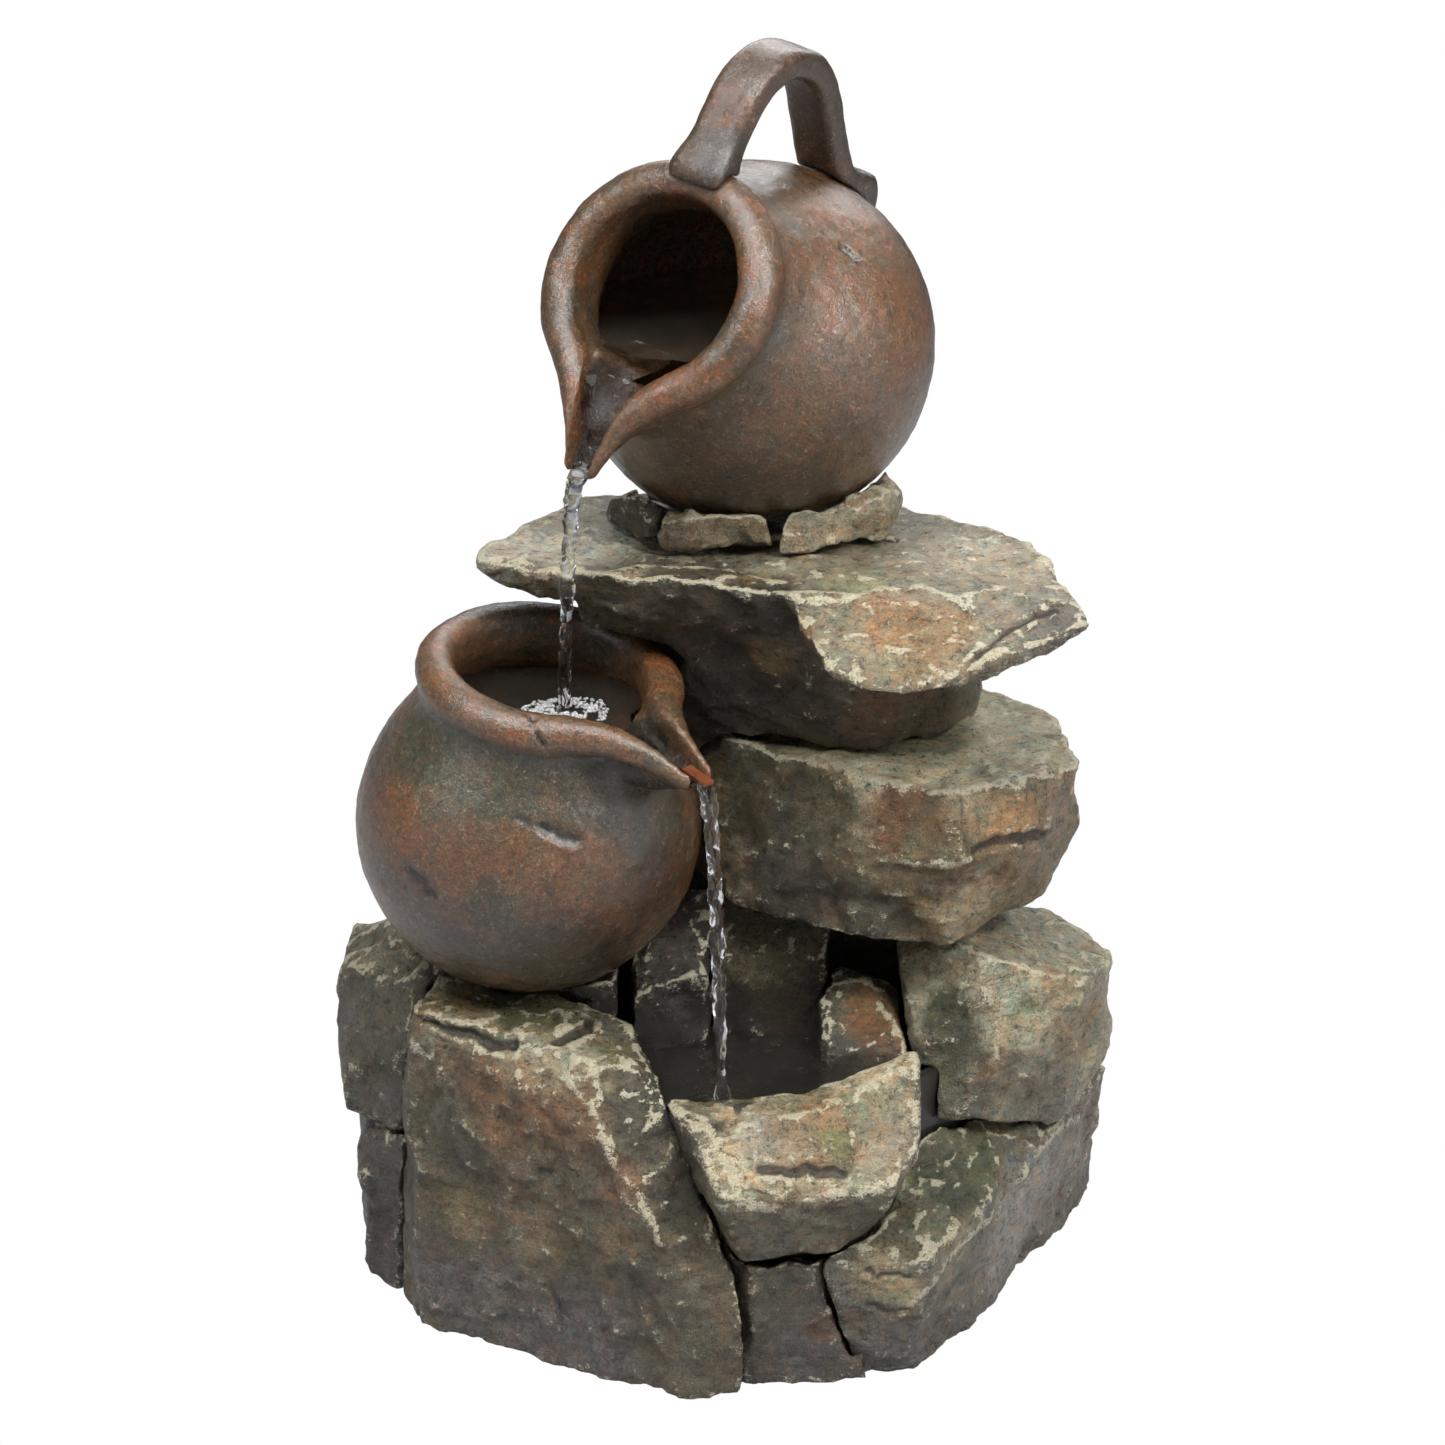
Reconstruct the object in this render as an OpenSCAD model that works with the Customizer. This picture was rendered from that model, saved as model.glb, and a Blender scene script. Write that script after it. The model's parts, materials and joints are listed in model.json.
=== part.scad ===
// Tabletop water fountain: two pouring jugs on stacked stones above a hidden reservoir and pump.
// Millimetres, +Z up, front towards -Y, origin on the table under the middle of the fountain.

/* [Reservoir] */
// Outer radius of the round reservoir tub
tub_r = 76; // [72:0.5:78]
// Wall thickness of the tub
tub_wall = 3; // [2:0.5:4]
// Floor thickness of the tub
tub_floor_t = 3; // [2:0.5:5]
// Height of the tub's rim above the table
rim_z = 88; // [84:0.5:92]
// Radius of the base plate under the tub
plate_r = 80; // [78:0.5:82]
// Thickness of the base plate
plate_t = 5; // [4:0.5:7]

/* [Feet] */
// Radius of one rubber foot
foot_r = 9; // [6:0.5:12]
// Thickness of a rubber foot
foot_t = 2.5; // [2:0.1:3.5]
// Distance by which the feet stand proud of the base plate
foot_proud = 1; // [0.6:0.1:1.6]
// Radius of the circle that the feet stand on
foot_circle_r = 62; // [45:1:68]

/* [Stones] */
// Half width of the worn edge on every stone
stone_edge = 1.5; // [0.8:0.1:2]
// Width of the bonding line between stones
bond = 0.3; // [0.2:0.05:0.5]
// Width of the ring of stones
ring_w = 247; // [235:1:260]
// Depth of the ring of stones, from the spill lip to the access door
ring_d = 199.6; // [194:0.2:206]
// Height of the underside of the middle boulder
boulder_base_z = 130; // [126:0.5:134]
// Height of the middle boulder, up to its ledge
boulder_h = 51; // [46:0.5:56]
// Height of the column and the neck, from the ledge to the slab
column_h = 36; // [32:0.5:42]
// Thickness of the slab at its middle
slab_t = 22; // [18:0.5:26]
// Height of the stones round the foot of the upper jug
collar_h = 14; // [10:0.5:18]

/* [Upper jug] */
// Outer radius of the upper jug's body
upper_r = 56; // [52:0.5:60]
// Wall thickness of both jugs
jug_wall = 5; // [4:0.5:7]
// Distance from the body's centre to the rim of the upper jug
upper_neck = 60; // [57:0.5:64]
// Radius of the upper jug's rim at the middle of its roll
upper_mouth_r = 33; // [31:0.5:35]
// Distance from the middle of the mouth to the tip of the upper spout
upper_spout = 61; // [56:0.5:66]
// Tilt of the upper jug from upright
upper_tilt = 60; // [52:1:66]
// Radius of the rolled rim on both jugs
rim_roll_r = 6.5; // [5:0.5:8]

/* [Lower jug] */
// Outer radius of the lower jug's body
lower_r = 53; // [50:0.5:56]
// Distance from the body's centre to the rim of the lower jug
lower_neck = 50; // [47:0.5:53]
// Radius of the lower jug's rim at the middle of its roll
lower_mouth_r = 34.5; // [32:0.5:36]
// Distance from the middle of the mouth to the tip of the lower spout
lower_spout = 68; // [62:0.5:72]
// Tilt of the lower jug from upright
lower_tilt = 12; // [6:1:16]
// Height of the lower jug's underside
lower_seat_z = 103.5; // [100:0.5:110]
// Length of the pouring tongue in the lower spout
tongue_l = 10; // [7:0.5:14]

/* [Handle] */
// Width of the upper jug's handle
handle_w = 17; // [13:0.5:20]
// Thickness of the handle
handle_t = 9.5; // [8:0.5:11]
// Inner radius of the handle's bow
handle_gap_r = 18; // [15:0.5:21]
// Clearance under the handle's feet, filled with resin
handle_seat = 0.2; // [0.1:0.05:0.4]

/* [Housing and door] */
// Wall thickness of the rear housing
housing_wall = 4; // [3:0.5:6]
// Width of the access opening
door_w = 76; // [60:1:84]
// Height of the access opening
door_h = 56; // [46:1:60]
// Height of the lower edge of the access opening above the tub's rim
door_sill = 9; // [7:0.5:14]
// Clearance all round the access door
door_gap = 0.4; // [0.3:0.05:0.6]
// Overlap of the door's flange on the housing
door_lap = 6; // [4:0.5:7]
// Thickness of the door's flange
door_flange_t = 2.5; // [2:0.1:3]
// Radius of the finger scoops on the access door
scoop_r = 9; // [7:0.5:11]
// Radius of the cord hole in the grommet
cord_hole_r = 3.2; // [2.5:0.1:4]

/* [Pump] */
// Width of the pump's motor block
pump_w = 44; // [40:1:50]
// Height of the pump above its suction cups
pump_h = 44; // [42:0.5:48]
// Length of the motor block
motor_l = 22; // [20:0.5:23]
// Depth of the pump's impeller chamber block
volute_l = 15; // [14:0.5:18]
// Radius of the pump's impeller
impeller_r = 11; // [9:0.5:12]
// Number of impeller vanes
vane_count = 6; // [4:1:8]
// Radius of the magnet rotor
rotor_r = 7.5; // [6:0.1:8]
// Radius of the ceramic shaft
shaft_r = 1.25; // [1:0.05:1.6]
// Running clearance of the impeller on its shaft
shaft_fit = 0.05; // [0.02:0.01:0.08]
// Height of the suction cups
cup_h = 5; // [4:0.5:7]
// Radius of a suction cup at the tub floor
cup_r = 5; // [4:0.25:5.5]
// Travel of the flow regulator
regulator_travel = 9; // [6:0.5:9]
// Number of slots in the intake screen
screen_slots = 7; // [5:1:8]

/* [Riser hose] */
// Outer radius of the riser hose
hose_r = 6; // [5.5:0.1:7]
// Wall thickness of the riser hose
hose_wall = 2; // [1.5:0.1:2.2]
// Clearance of the hose in its duct
duct_gap = 0.5; // [0.4:0.1:0.8]
// Place of the riser from left to right
riser_x = 9; // [5:0.5:13]
// Place of the riser from front to back
riser_y = 41; // [39:0.5:43]

/* [Hidden] */

// Slack that lets a cutting solid run past the face that it cuts
over = 1;
// Facets of the round solids that take part in a hull, and of all other round solids
hull_fn = 20;
round_fn = 72;

// Middle of the tub and of the base plate
tub_x = 5;
tub_y = 4;
plate_z = foot_proud;
tub_z = plate_z + plate_t;
tub_floor_z = tub_z + tub_floor_t;
ring_x = ring_w / 2 - stone_edge;
ring_y = ring_d / 2 - stone_edge;
ledge_z = boulder_base_z + boulder_h;
slab_base_z = ledge_z + column_h;
slab_top_z = slab_base_z + slab_t;

upper_foot_sink = 1;
upper_turn = -122;
upper_spin = -10;
upper_c = [9, 41, slab_top_z + upper_r - upper_foot_sink];
lower_turn = -46;
lower_c = [-59.5, -8, lower_seat_z + lower_r];

stone_grey = "#7f7f6a";
stone_dark = "#4a4a3f";
stone_tan = "#8f8468";
jug_brown = "#7a4a32";

// ---- Outlines of the stones: corner points, each widened by stone_edge -------------------------

function side(f) = f * ring_x / 122;      // a place across the ring, for points given at 122 mm
foot_z = plate_z + stone_edge;

front_left_pts = [
  [side(-99), -26, foot_z], [side(-93), -46, foot_z], [-50, -70, foot_z], [-10, -91, foot_z],
  [4, -86, foot_z], [-14, -60, foot_z], [-60, -30, foot_z],
  [5, -89, 25], [-17, -89, 52], [-33, -79, 78],
  [side(-97), -27, 90], [side(-96), -40, 107], [-40, -60, 99], [-30, -31, 99], [-86, -15, 108],
  [-70, -10, 104], [-27, -45, 98], [-22, -61, 95], [-18, -70, 87], [-14, -78, 71], [0, -86, 49]
];
// The flake on its top face, and the shallow facet at the foot of its front
front_left_flake_pts = [
  [side(-92), -38, 107], [-80, -45, 104], [-62, -50, 103], [-47, -45, 102.5], [-42, -34, 102],
  [-60, -28, 101], [-84, -20, 105], [-84, -24, 98], [-50, -40, 96], [-80, -40, 98]
];
front_left_facet_pts = [
  [-22, -92, 50], [-42, -82, 22], [-56, -74.5, 8], [-16, -95.5, 8], [-14, -98, 40],
  [-60, -90, 8], [-30, -100, 50]
];
upper_left_pts = [
  [side(-101), 12, 113], [side(-119), 8, 96], [side(-122), 12, 82], [side(-117), -8, 60],
  [side(-99), -22, 58], [side(-95), -24, 88], [side(-93), -12, 108], [-78, 0, 113],
  [-84, 38, 110], [side(-117), 42, 98], [side(-117), 42, 60], [-84, 20, 58]
];
lower_left_pts = [
  [side(-111), -8, 56], [side(-114), -15, 38], [side(-112), -10, foot_z], [side(-103), -20, foot_z],
  [side(-99), -24, 8], [side(-99), -24, 56], [side(-116), 38, 54], [side(-112), 40, foot_z],
  [-84, 24, foot_z], [-84, 24, 56]
];
spill_curve_r = 117; // the worn top of the spill lip
spill_lip_pts = [
  [-17, -68, rim_z + 3], [58, -58, rim_z + 14], [58, -78, 79], [50, -89, 69], [0, -ring_y, 71],
  [-8, -80, rim_z + 1], [7, -89, 49], [32, -84, 49], [52, -62, 60], [40, -66, 42], [8, -76, 42],
  [-16, -70, 70]
];
front_low_pts = [
  [6, -83, foot_z], [43, -79, foot_z], [56, -60, foot_z], [0, -74, foot_z],
  [10, -84, 40], [40, -80, 46], [52, -62, 48], [0, -74, 50]
];
front_right_pts = [
  [42, -77, foot_z], [56, -74, foot_z], [74, -49, foot_z], [88, -19, foot_z],
  [side(115), 34, foot_z], [side(119), 46, foot_z], [84, 46, foot_z], [50, -56, foot_z],
  [32, -83, 40], [33, -82, 48], [62, -83, 43], [85, -45, 50], [side(110), 0, 53],
  [side(122), 20, 57], [side(120), 46, 52], [60, -44, 70], [56, -62, 58], [84, 46, 60]
];
right_pts = [
  [67, -20, 124], [80, -38, 122], [side(110), -28, 110], [side(122), 2, 107],
  [side(101), 22, 114], [56, -20, 113], [56, 14, 112], [side(121), 2, 78], [side(104), -18, 59],
  [60, -40, 73], [60, -41, 86], [74, -44, 73], [side(117), 26, 62], [80, 26, 62]
];
boulder_pts = [
  [0, 6, ledge_z - 2], [14, -8, ledge_z - 2], [29, -10, ledge_z - 2], [43, -31, ledge_z - 1],
  [57, -39, ledge_z - 1], [71, -44, ledge_z - 1], [87, -33, ledge_z - 2],
  [103, 4, ledge_z - 3], [108, -13, ledge_z - 5], [103, 21, ledge_z - 3], [82, 50, ledge_z - 2],
  [-18, 50, ledge_z - 2], [-12, 18, ledge_z - 2],
  [44, -43, ledge_z - 18], [71, -48, ledge_z - 20], [92, -39, ledge_z - 15],
  [109, -6, boulder_base_z + 24], [102, -10, boulder_base_z + 16], [98, -9, boulder_base_z + 3],
  [5, -18, boulder_base_z + 4], [39, -38, boulder_base_z + 2], [67, -38, boulder_base_z - 1],
  [92, 40, boulder_base_z + 2], [-12, 14, boulder_base_z + 6], [-18, 50, boulder_base_z + 6]
];
column_pts = [
  [-30, 16, ledge_z - 6], [-2, 8, ledge_z - 6], [14, 1, ledge_z - 6], [30, -6, ledge_z - 6],
  [36, 24, ledge_z - 6], [36, 52, ledge_z - 6], [-34, 52, ledge_z - 6],
  [-44, 2, slab_base_z + 8], [-18, -4, slab_base_z + 8], [10, -10, slab_base_z + 8],
  [22, -24, slab_base_z + 8], [36, 10, slab_base_z + 8], [36, 62, slab_base_z + 8],
  [-40, 62, slab_base_z + 8]
];
neck_pts = [
  [28, -6, ledge_z - 6], [46, -10, ledge_z - 6], [66, 4, ledge_z - 6], [79, 22, ledge_z - 6],
  [70, 50, ledge_z - 6], [30, 50, ledge_z - 6],
  [26, -32, slab_base_z + 6], [48, -34, slab_base_z + 6], [75, -12, slab_base_z + 6],
  [79, 14, slab_base_z + 6], [66, 54, slab_base_z + 6], [30, 54, slab_base_z + 6]
];
slab_z = slab_top_z - stone_edge;
slab_left_pts = [
  [-74, 1, slab_z], [-73, 10, slab_z], [-48, -10, slab_z], [-20, -4, slab_z], [10, -10, slab_z],
  [20, -29, slab_z], [-50, 50, slab_z], [-43, 60, slab_z], [-34, 66, slab_z], [32, 66, slab_z],
  [32, -20, slab_z],
  [-73, 2, slab_z - 3], [-61, -3, slab_z - 9], [-38, -3, slab_z - 14], [-18, -6, slab_z - 17],
  [12, -12, slab_z - 18], [24, -20, slab_base_z + 1], [24, 56, slab_base_z + 1],
  [-40, 52, slab_z - 14]
];
slab_right_pts = [
  [20, -30, slab_z], [40, -22, slab_z], [62, -20, slab_z], [69, -33, slab_z], [83, -41, slab_z - 2],
  [95, -28, slab_z], [107, -42, slab_z - 5], [100, -16, slab_z], [94, 18, slab_z],
  [76, 32, slab_z], [56, 40, slab_z], [44, 60, slab_z], [16, 62, slab_z],
  [29, -56, slab_z - 10], [33, -62, slab_z - 14], [46, -67, slab_z - 17], [63, -66, slab_z - 15],
  [81, -56, slab_z - 15], [107, -38, slab_z - 9],
  [48, -34, slab_base_z], [84, -12, slab_base_z + 1], [78, 24, slab_base_z], [34, 54, slab_base_z]
];
pool_middle_pts = [
  [0, -14, tub_floor_z + 2], [32, -18, tub_floor_z + 2], [34, 8, tub_floor_z + 2],
  [-2, 8, tub_floor_z + 2], [0, -13, boulder_base_z - 19], [31, -13, boulder_base_z - 18],
  [32, 8, boulder_base_z + 6], [0, 8, boulder_base_z + 6]
];
pool_right_pts = [
  [32, -32, tub_floor_z + 2], [56, -34, tub_floor_z + 2], [60, -8, tub_floor_z + 2],
  [30, -8, tub_floor_z + 2], [32, -36, rim_z + 2], [56, -38, rim_z + 2], [31, -22, rim_z + 14],
  [44, -18, rim_z + 18], [56, -22, rim_z + 6], [34, -8, rim_z + 18], [58, -8, rim_z + 10]
];
pool_left_pts = [
  [-28, -24, tub_floor_z + 2], [-2, -24, tub_floor_z + 2], [-2, 6, tub_floor_z + 2],
  [-28, 6, tub_floor_z + 2], [-26, -24, rim_z + 16], [-6, -22, rim_z + 22],
  [-2, 6, boulder_base_z - 2], [-28, 6, boulder_base_z - 6]
];
jug_seat_pts = [
  [side(-88), -20, rim_z + 6], [-34, -22, rim_z + 6], [-34, 18, rim_z + 6], [side(-84), 30, rim_z + 6],
  [side(-88), -20, lower_seat_z + 14], [-34, -22, lower_seat_z + 14], [-34, 18, lower_seat_z + 16],
  [side(-84), 30, lower_seat_z + 10]
];
back_left_pts = [
  [side(-111), 43, foot_z], [side(-116), 48, 56], [side(-106), 50, 101], [-64, 50, 112],
  [-56, 88, 104], [-44, 95, 60], [-46, 94, foot_z], [-94, 84, foot_z], [-98, 86, 66],
  [-84, 30, foot_z], [-84, 40, 104]
];
back_right_pts = [
  [side(119), 48, foot_z], [side(121), 48, 48], [side(114), 32, 98], [side(111), 60, 90],
  [100, 90, 80], [98, 92, foot_z], [58, 95, foot_z], [58, 95, 82], [84, 30, foot_z], [84, 30, 104]
];
back_middle_pts = [
  [-50, 95, foot_z], [-48, 94, rim_z - 2], [64, 94, rim_z - 2], [62, 95, foot_z],
  [60, 70, foot_z], [-48, 70, foot_z], [60, 70, rim_z - 2], [-48, 70, rim_z - 2],
  [20, 96.5, 40]
];
collar_z = slab_top_z + bond + stone_edge;
collar_top_z = slab_top_z + collar_h;
collar_left_pts = [
  [-35, 29, collar_z], [-19, 9, collar_z], [-14, 14, collar_z], [-24, 38, collar_z],
  [-34, 26, collar_top_z - 4], [-24, 13, collar_top_z], [-14, 16, collar_top_z],
  [-24, 38, collar_top_z + 1]
];
collar_front_pts = [
  [-19, 5, collar_z], [-2, -1, collar_z], [15, 1, collar_z], [12, 10, collar_z],
  [-12, 14, collar_z], [-17, 4, collar_top_z - 5], [-6, 0, collar_top_z - 3],
  [10, 1, collar_top_z - 3], [12, 10, collar_top_z + 1], [-12, 14, collar_top_z + 1]
];
collar_right_pts = [
  [18, 1, collar_z], [38, 5, collar_z], [52, 15, collar_z], [55, 40, collar_z], [44, 44, collar_z],
  [22, 10, collar_z], [20, 2, collar_top_z - 6], [38, 8, collar_top_z - 1],
  [50, 19, collar_top_z + 3], [53, 30, collar_top_z + 1], [44, 42, collar_top_z + 3],
  [24, 12, collar_top_z]
];
collar_back_pts = [
  [-22, 51, collar_z], [-11, 66, collar_z], [22, 69, collar_z], [41, 55, collar_z],
  [23, 61, collar_top_z], [-5, 61, collar_top_z + 1], [-19, 50, collar_top_z], [37, 53, collar_top_z],
  [-8, 68, collar_top_z - 4], [20, 70, collar_top_z - 4]
];

// ---- Outline of the rear housing, from its foot on the tub's rim up to below the slab ----------

housing_foot_z = rim_z + bond + stone_edge;
housing_back_y = ring_d / 2 - door_flange_t - bond - stone_edge;
housing_mid_z = housing_foot_z + door_sill + door_h + 8;
housing_top_z = slab_base_z - 6;
housing_pts = [
  [-34, 31, housing_foot_z], [86, 24, housing_foot_z], [88, 60, housing_foot_z],
  [80, housing_back_y, housing_foot_z], [-46, housing_back_y, housing_foot_z],
  [-54, 64, housing_foot_z],
  [66, housing_back_y, housing_mid_z], [-36, housing_back_y, housing_mid_z],
  [84, 56, housing_mid_z - 30], [-46, 62, housing_mid_z - 30],
  [-30, 54, housing_top_z], [58, 54, housing_top_z], [56, 72, housing_top_z],
  [-26, 72, housing_top_z]
];

// Corner points of a shell's hollow: each moves in by the wall, and the open foot runs down
function hollow(pts, wall) = [
  for (p = pts) [
    p[0] + (p[0] < riser_x ? wall : -wall),
    p[1] + (p[1] < 60 ? wall : -wall),
    p[2] <= housing_foot_z ? p[2] - 2 * over : p[2] - wall
  ]
];

// ---- Helpers --------------------------------------------------------------------------------------

// A stone with worn edges; grow widens it all round, for the seat that it leaves in a neighbour
module stone(pts, grow = 0) {
  hull()
    for (p = pts)
      translate(p) cube(2 * (stone_edge + grow), center = true);
}

// Space taken by the tub, by the base plate and by the two jugs, with the bonding line
module tub_space() {
  translate([tub_x, tub_y, 0]) cylinder(r = tub_r + bond, h = rim_z + bond, $fn = round_fn);
}
module plate_space() {
  translate([tub_x, tub_y, 0]) cylinder(r = plate_r + bond, h = tub_z + bond, $fn = round_fn);
}
module lower_jug_space() {
  translate(lower_c) sphere(r = lower_r + bond, $fn = round_fn);
  place_lower()
    cylinder(r = lower_mouth_r + rim_roll_r + bond, h = lower_neck + rim_roll_r + bond, $fn = round_fn);
}
module upper_jug_space() {
  translate(upper_c) sphere(r = upper_r + bond, $fn = 3 * round_fn);
}
module duct() {
  translate([riser_x, riser_y, rim_z])
    cylinder(r = hose_r + duct_gap, h = slab_top_z + over - rim_z, $fn = round_fn);
}

// A stone outside the tub, seated against the stones listed in over_pts
module ring_stone(pts, over_pts = []) {
  difference() {
    stone(pts);
    for (other = over_pts) stone(other, bond);
    tub_space();
    plate_space();
    lower_jug_space();
    stone(housing_pts, bond);
  }
}

// A stone that stands on the tub's floor
module pool_stone(pts, over_pts = []) {
  difference() {
    stone(pts);
    for (other = over_pts) stone(other, bond);
    lower_jug_space();
  }
}

// A stone bedded on the slab round the upper jug's foot
module collar_stone(pts, over_pts = []) {
  difference() {
    stone(pts);
    for (other = over_pts) stone(other, bond);
    upper_jug_space();
  }
}

module tube(r, bore, h) {
  difference() {
    cylinder(r = r, h = h, $fn = round_fn);
    translate([0, 0, -over]) cylinder(r = bore, h = h + 2 * over, $fn = round_fn);
  }
}

// ---- Reservoir and base -----------------------------------------------------------------------

module reservoir_tub() {
  color("#2b2b28")
    translate([tub_x, tub_y, tub_z])
      difference() {
        cylinder(r = tub_r, h = rim_z - tub_z, $fn = round_fn);
        translate([0, 0, tub_floor_t])
          cylinder(r = tub_r - tub_wall, h = rim_z - tub_z, $fn = round_fn);
      }
}

// The four feet stand at the corners of a square inside the base plate
module at_feet() {
  for (a = [45 : 90 : 315])
    translate([tub_x + foot_circle_r * cos(a), tub_y + foot_circle_r * sin(a), 0]) children();
}

module base_plate() {
  color("#3a3833")
    difference() {
      translate([tub_x, tub_y, plate_z]) cylinder(r = plate_r, h = plate_t, $fn = round_fn);
      at_feet() cylinder(r = foot_r + bond, h = foot_t, $fn = round_fn);
    }
}

module rubber_feet() {
  color("#1d1d1d") at_feet() cylinder(r = foot_r, h = foot_t, $fn = round_fn);
}

// ---- Stones -------------------------------------------------------------------------------------

module front_left_rock() {
  color(stone_grey)
    difference() {
      union() {
        ring_stone(front_left_pts);
        difference() {
          stone(front_left_flake_pts);
          lower_jug_space();
          stone(housing_pts, bond);
        }
      }
      stone(front_left_facet_pts);
    }
}
module upper_left_rock() {
  color(stone_grey) ring_stone(upper_left_pts, [front_left_pts]);
}
module lower_left_rock() {
  color(stone_dark) ring_stone(lower_left_pts, [front_left_pts, upper_left_pts]);
}
module spill_lip_rock() {
  color(stone_tan)
    difference() {
      ring_stone(spill_lip_pts, [front_left_pts]);
      translate([3, -ring_y, rim_z + 1 + spill_curve_r]) rotate([-90, 0, 0])
        cylinder(r = spill_curve_r, h = ring_y, $fn = 3 * round_fn);
    }
}
module front_low_rock() {
  color(stone_dark) ring_stone(front_low_pts, [front_left_pts, spill_lip_pts, front_right_pts]);
}
module front_right_rock() {
  color(stone_grey) ring_stone(front_right_pts, [front_left_pts, spill_lip_pts, right_pts]);
}
module right_rock() {
  color(stone_tan) ring_stone(right_pts, [spill_lip_pts]);
}
module pool_middle_rock() {
  color(stone_dark) pool_stone(pool_middle_pts, [boulder_pts]);
}
module pool_right_rock() {
  color("#7a5a34") pool_stone(pool_right_pts, [pool_middle_pts, boulder_pts, right_pts]);
}
module pool_left_rock() {
  color(stone_dark) pool_stone(pool_left_pts, [pool_middle_pts, boulder_pts, front_left_pts]);
}
module jug_seat_rock() {
  color(stone_dark)
    ring_stone(jug_seat_pts, [front_left_pts, upper_left_pts, pool_left_pts, boulder_pts]);
}
module back_left_rock() {
  color(stone_grey)
    ring_stone(back_left_pts, [front_left_pts, upper_left_pts, lower_left_pts, jug_seat_pts]);
}
module back_right_rock() {
  color(stone_grey) ring_stone(back_right_pts, [right_pts, front_right_pts, boulder_pts]);
}
module back_middle_rock() {
  color(stone_dark) ring_stone(back_middle_pts, [back_left_pts, back_right_pts]);
}

module middle_boulder() {
  color(stone_grey)
    difference() {
      ring_stone(boulder_pts, [right_pts]);
      duct();
    }
}
module column_rock() {
  color(stone_dark)
    difference() {
      stone(column_pts);
      stone(boulder_pts, bond);
      stone(slab_left_pts, bond);
      stone(slab_right_pts, bond);
      stone(housing_pts, bond);
      lower_jug_space();
      duct();
    }
}
module neck_rock() {
  color("#5e4a3a")
    difference() {
      stone(neck_pts);
      stone(boulder_pts, bond);
      stone(column_pts, bond);
      stone(slab_left_pts, bond);
      stone(slab_right_pts, bond);
      stone(housing_pts, bond);
    }
}
module top_slab() {
  color(stone_grey)
    difference() {
      union() {
        stone(slab_left_pts);
        stone(slab_right_pts);
      }
      duct();
    }
}

module collar_stone_left() {
  color(stone_tan) collar_stone(collar_left_pts, [collar_front_pts]);
}
module collar_stone_front() {
  color(stone_tan) collar_stone(collar_front_pts);
}
module collar_stone_right() {
  color(stone_tan) collar_stone(collar_right_pts, [collar_front_pts]);
}
module collar_stone_back() {
  color(stone_tan) collar_stone(collar_back_pts, [collar_left_pts, collar_right_pts]);
}

// ---- Jugs -----------------------------------------------------------------------------------------

// A jug about the middle of its body, mouth towards +Z, spout towards +X.
// Its round part is one revolved outline: body, neck and rolled rim.
module jug_outline(r, neck, mouth_r) {
  difference() {
    union() {
      circle(r = r, $fn = round_fn);
      polygon([[0, 0], [r * 0.8, neck / 2], [mouth_r + rim_roll_r / 2, neck], [0, neck]]);
      translate([mouth_r, neck]) circle(r = rim_roll_r, $fn = round_fn);
    }
    circle(r = r - jug_wall, $fn = round_fn);
    square([mouth_r - rim_roll_r, neck + 2 * rim_roll_r]);
    translate([-2 * r, -2 * r]) square([2 * r, 4 * r]);
  }
}
module spout_outside(neck, mouth_r, spout) {
  hull() {
    for (a = [-38, 38])
      rotate([0, 0, a]) translate([mouth_r, 0, neck]) sphere(r = rim_roll_r - 0.4, $fn = hull_fn);
    translate([spout - rim_roll_r, 0, neck]) sphere(r = rim_roll_r - 1, $fn = hull_fn);
    translate([mouth_r * 0.8, 0, neck - 3 * rim_roll_r]) sphere(r = rim_roll_r, $fn = hull_fn);
  }
}
module spout_channel(neck, mouth_r, spout) {
  hull() {
    translate([mouth_r - rim_roll_r - 8, 0, neck + 3]) sphere(r = 9, $fn = hull_fn);
    translate([mouth_r - rim_roll_r - 8, 0, neck + 14]) sphere(r = 9, $fn = hull_fn);
    translate([spout + 3, 0, neck + 3]) sphere(r = 3.5, $fn = hull_fn);
    translate([spout + 3, 0, neck + 14]) sphere(r = 5, $fn = hull_fn);
  }
}
module jug(r, neck, mouth_r, spout) {
  difference() {
    union() {
      rotate_extrude($fn = round_fn) jug_outline(r, neck, mouth_r);
      difference() {
        spout_outside(neck, mouth_r, spout);
        sphere(r = r - jug_wall / 2, $fn = round_fn);
        cylinder(r = mouth_r - rim_roll_r / 2, h = neck + 2 * rim_roll_r, $fn = round_fn);
      }
    }
    spout_channel(neck, mouth_r, spout);
  }
}
module place_upper() {
  translate(upper_c) rotate([0, upper_tilt, upper_turn]) rotate([0, 0, upper_spin]) children();
}
module place_lower() {
  translate(lower_c) rotate([0, lower_tilt, lower_turn]) children();
}

inlet_flange_r = 8;
inlet_flange_t = 2;
inlet_flange_z = upper_c[2] - sqrt(pow(upper_r - jug_wall, 2) - pow(inlet_flange_r, 2)) + bond / 2;
inlet_r = hose_r - hose_wall - bond / 3;
inlet_bore_r = inlet_r - 1;
inlet_tail = 16;

module upper_jug() {
  color(jug_brown)
    difference() {
      place_upper() jug(upper_r, upper_neck, upper_mouth_r, upper_spout);
      translate([upper_c[0], upper_c[1], slab_top_z + bond - upper_r])
        cylinder(r = upper_r, h = upper_r, $fn = round_fn);
      translate([riser_x, riser_y, slab_top_z - over])
        cylinder(r = inlet_r + bond / 2, h = jug_wall + 3 * over, $fn = round_fn);
    }
}

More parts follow.
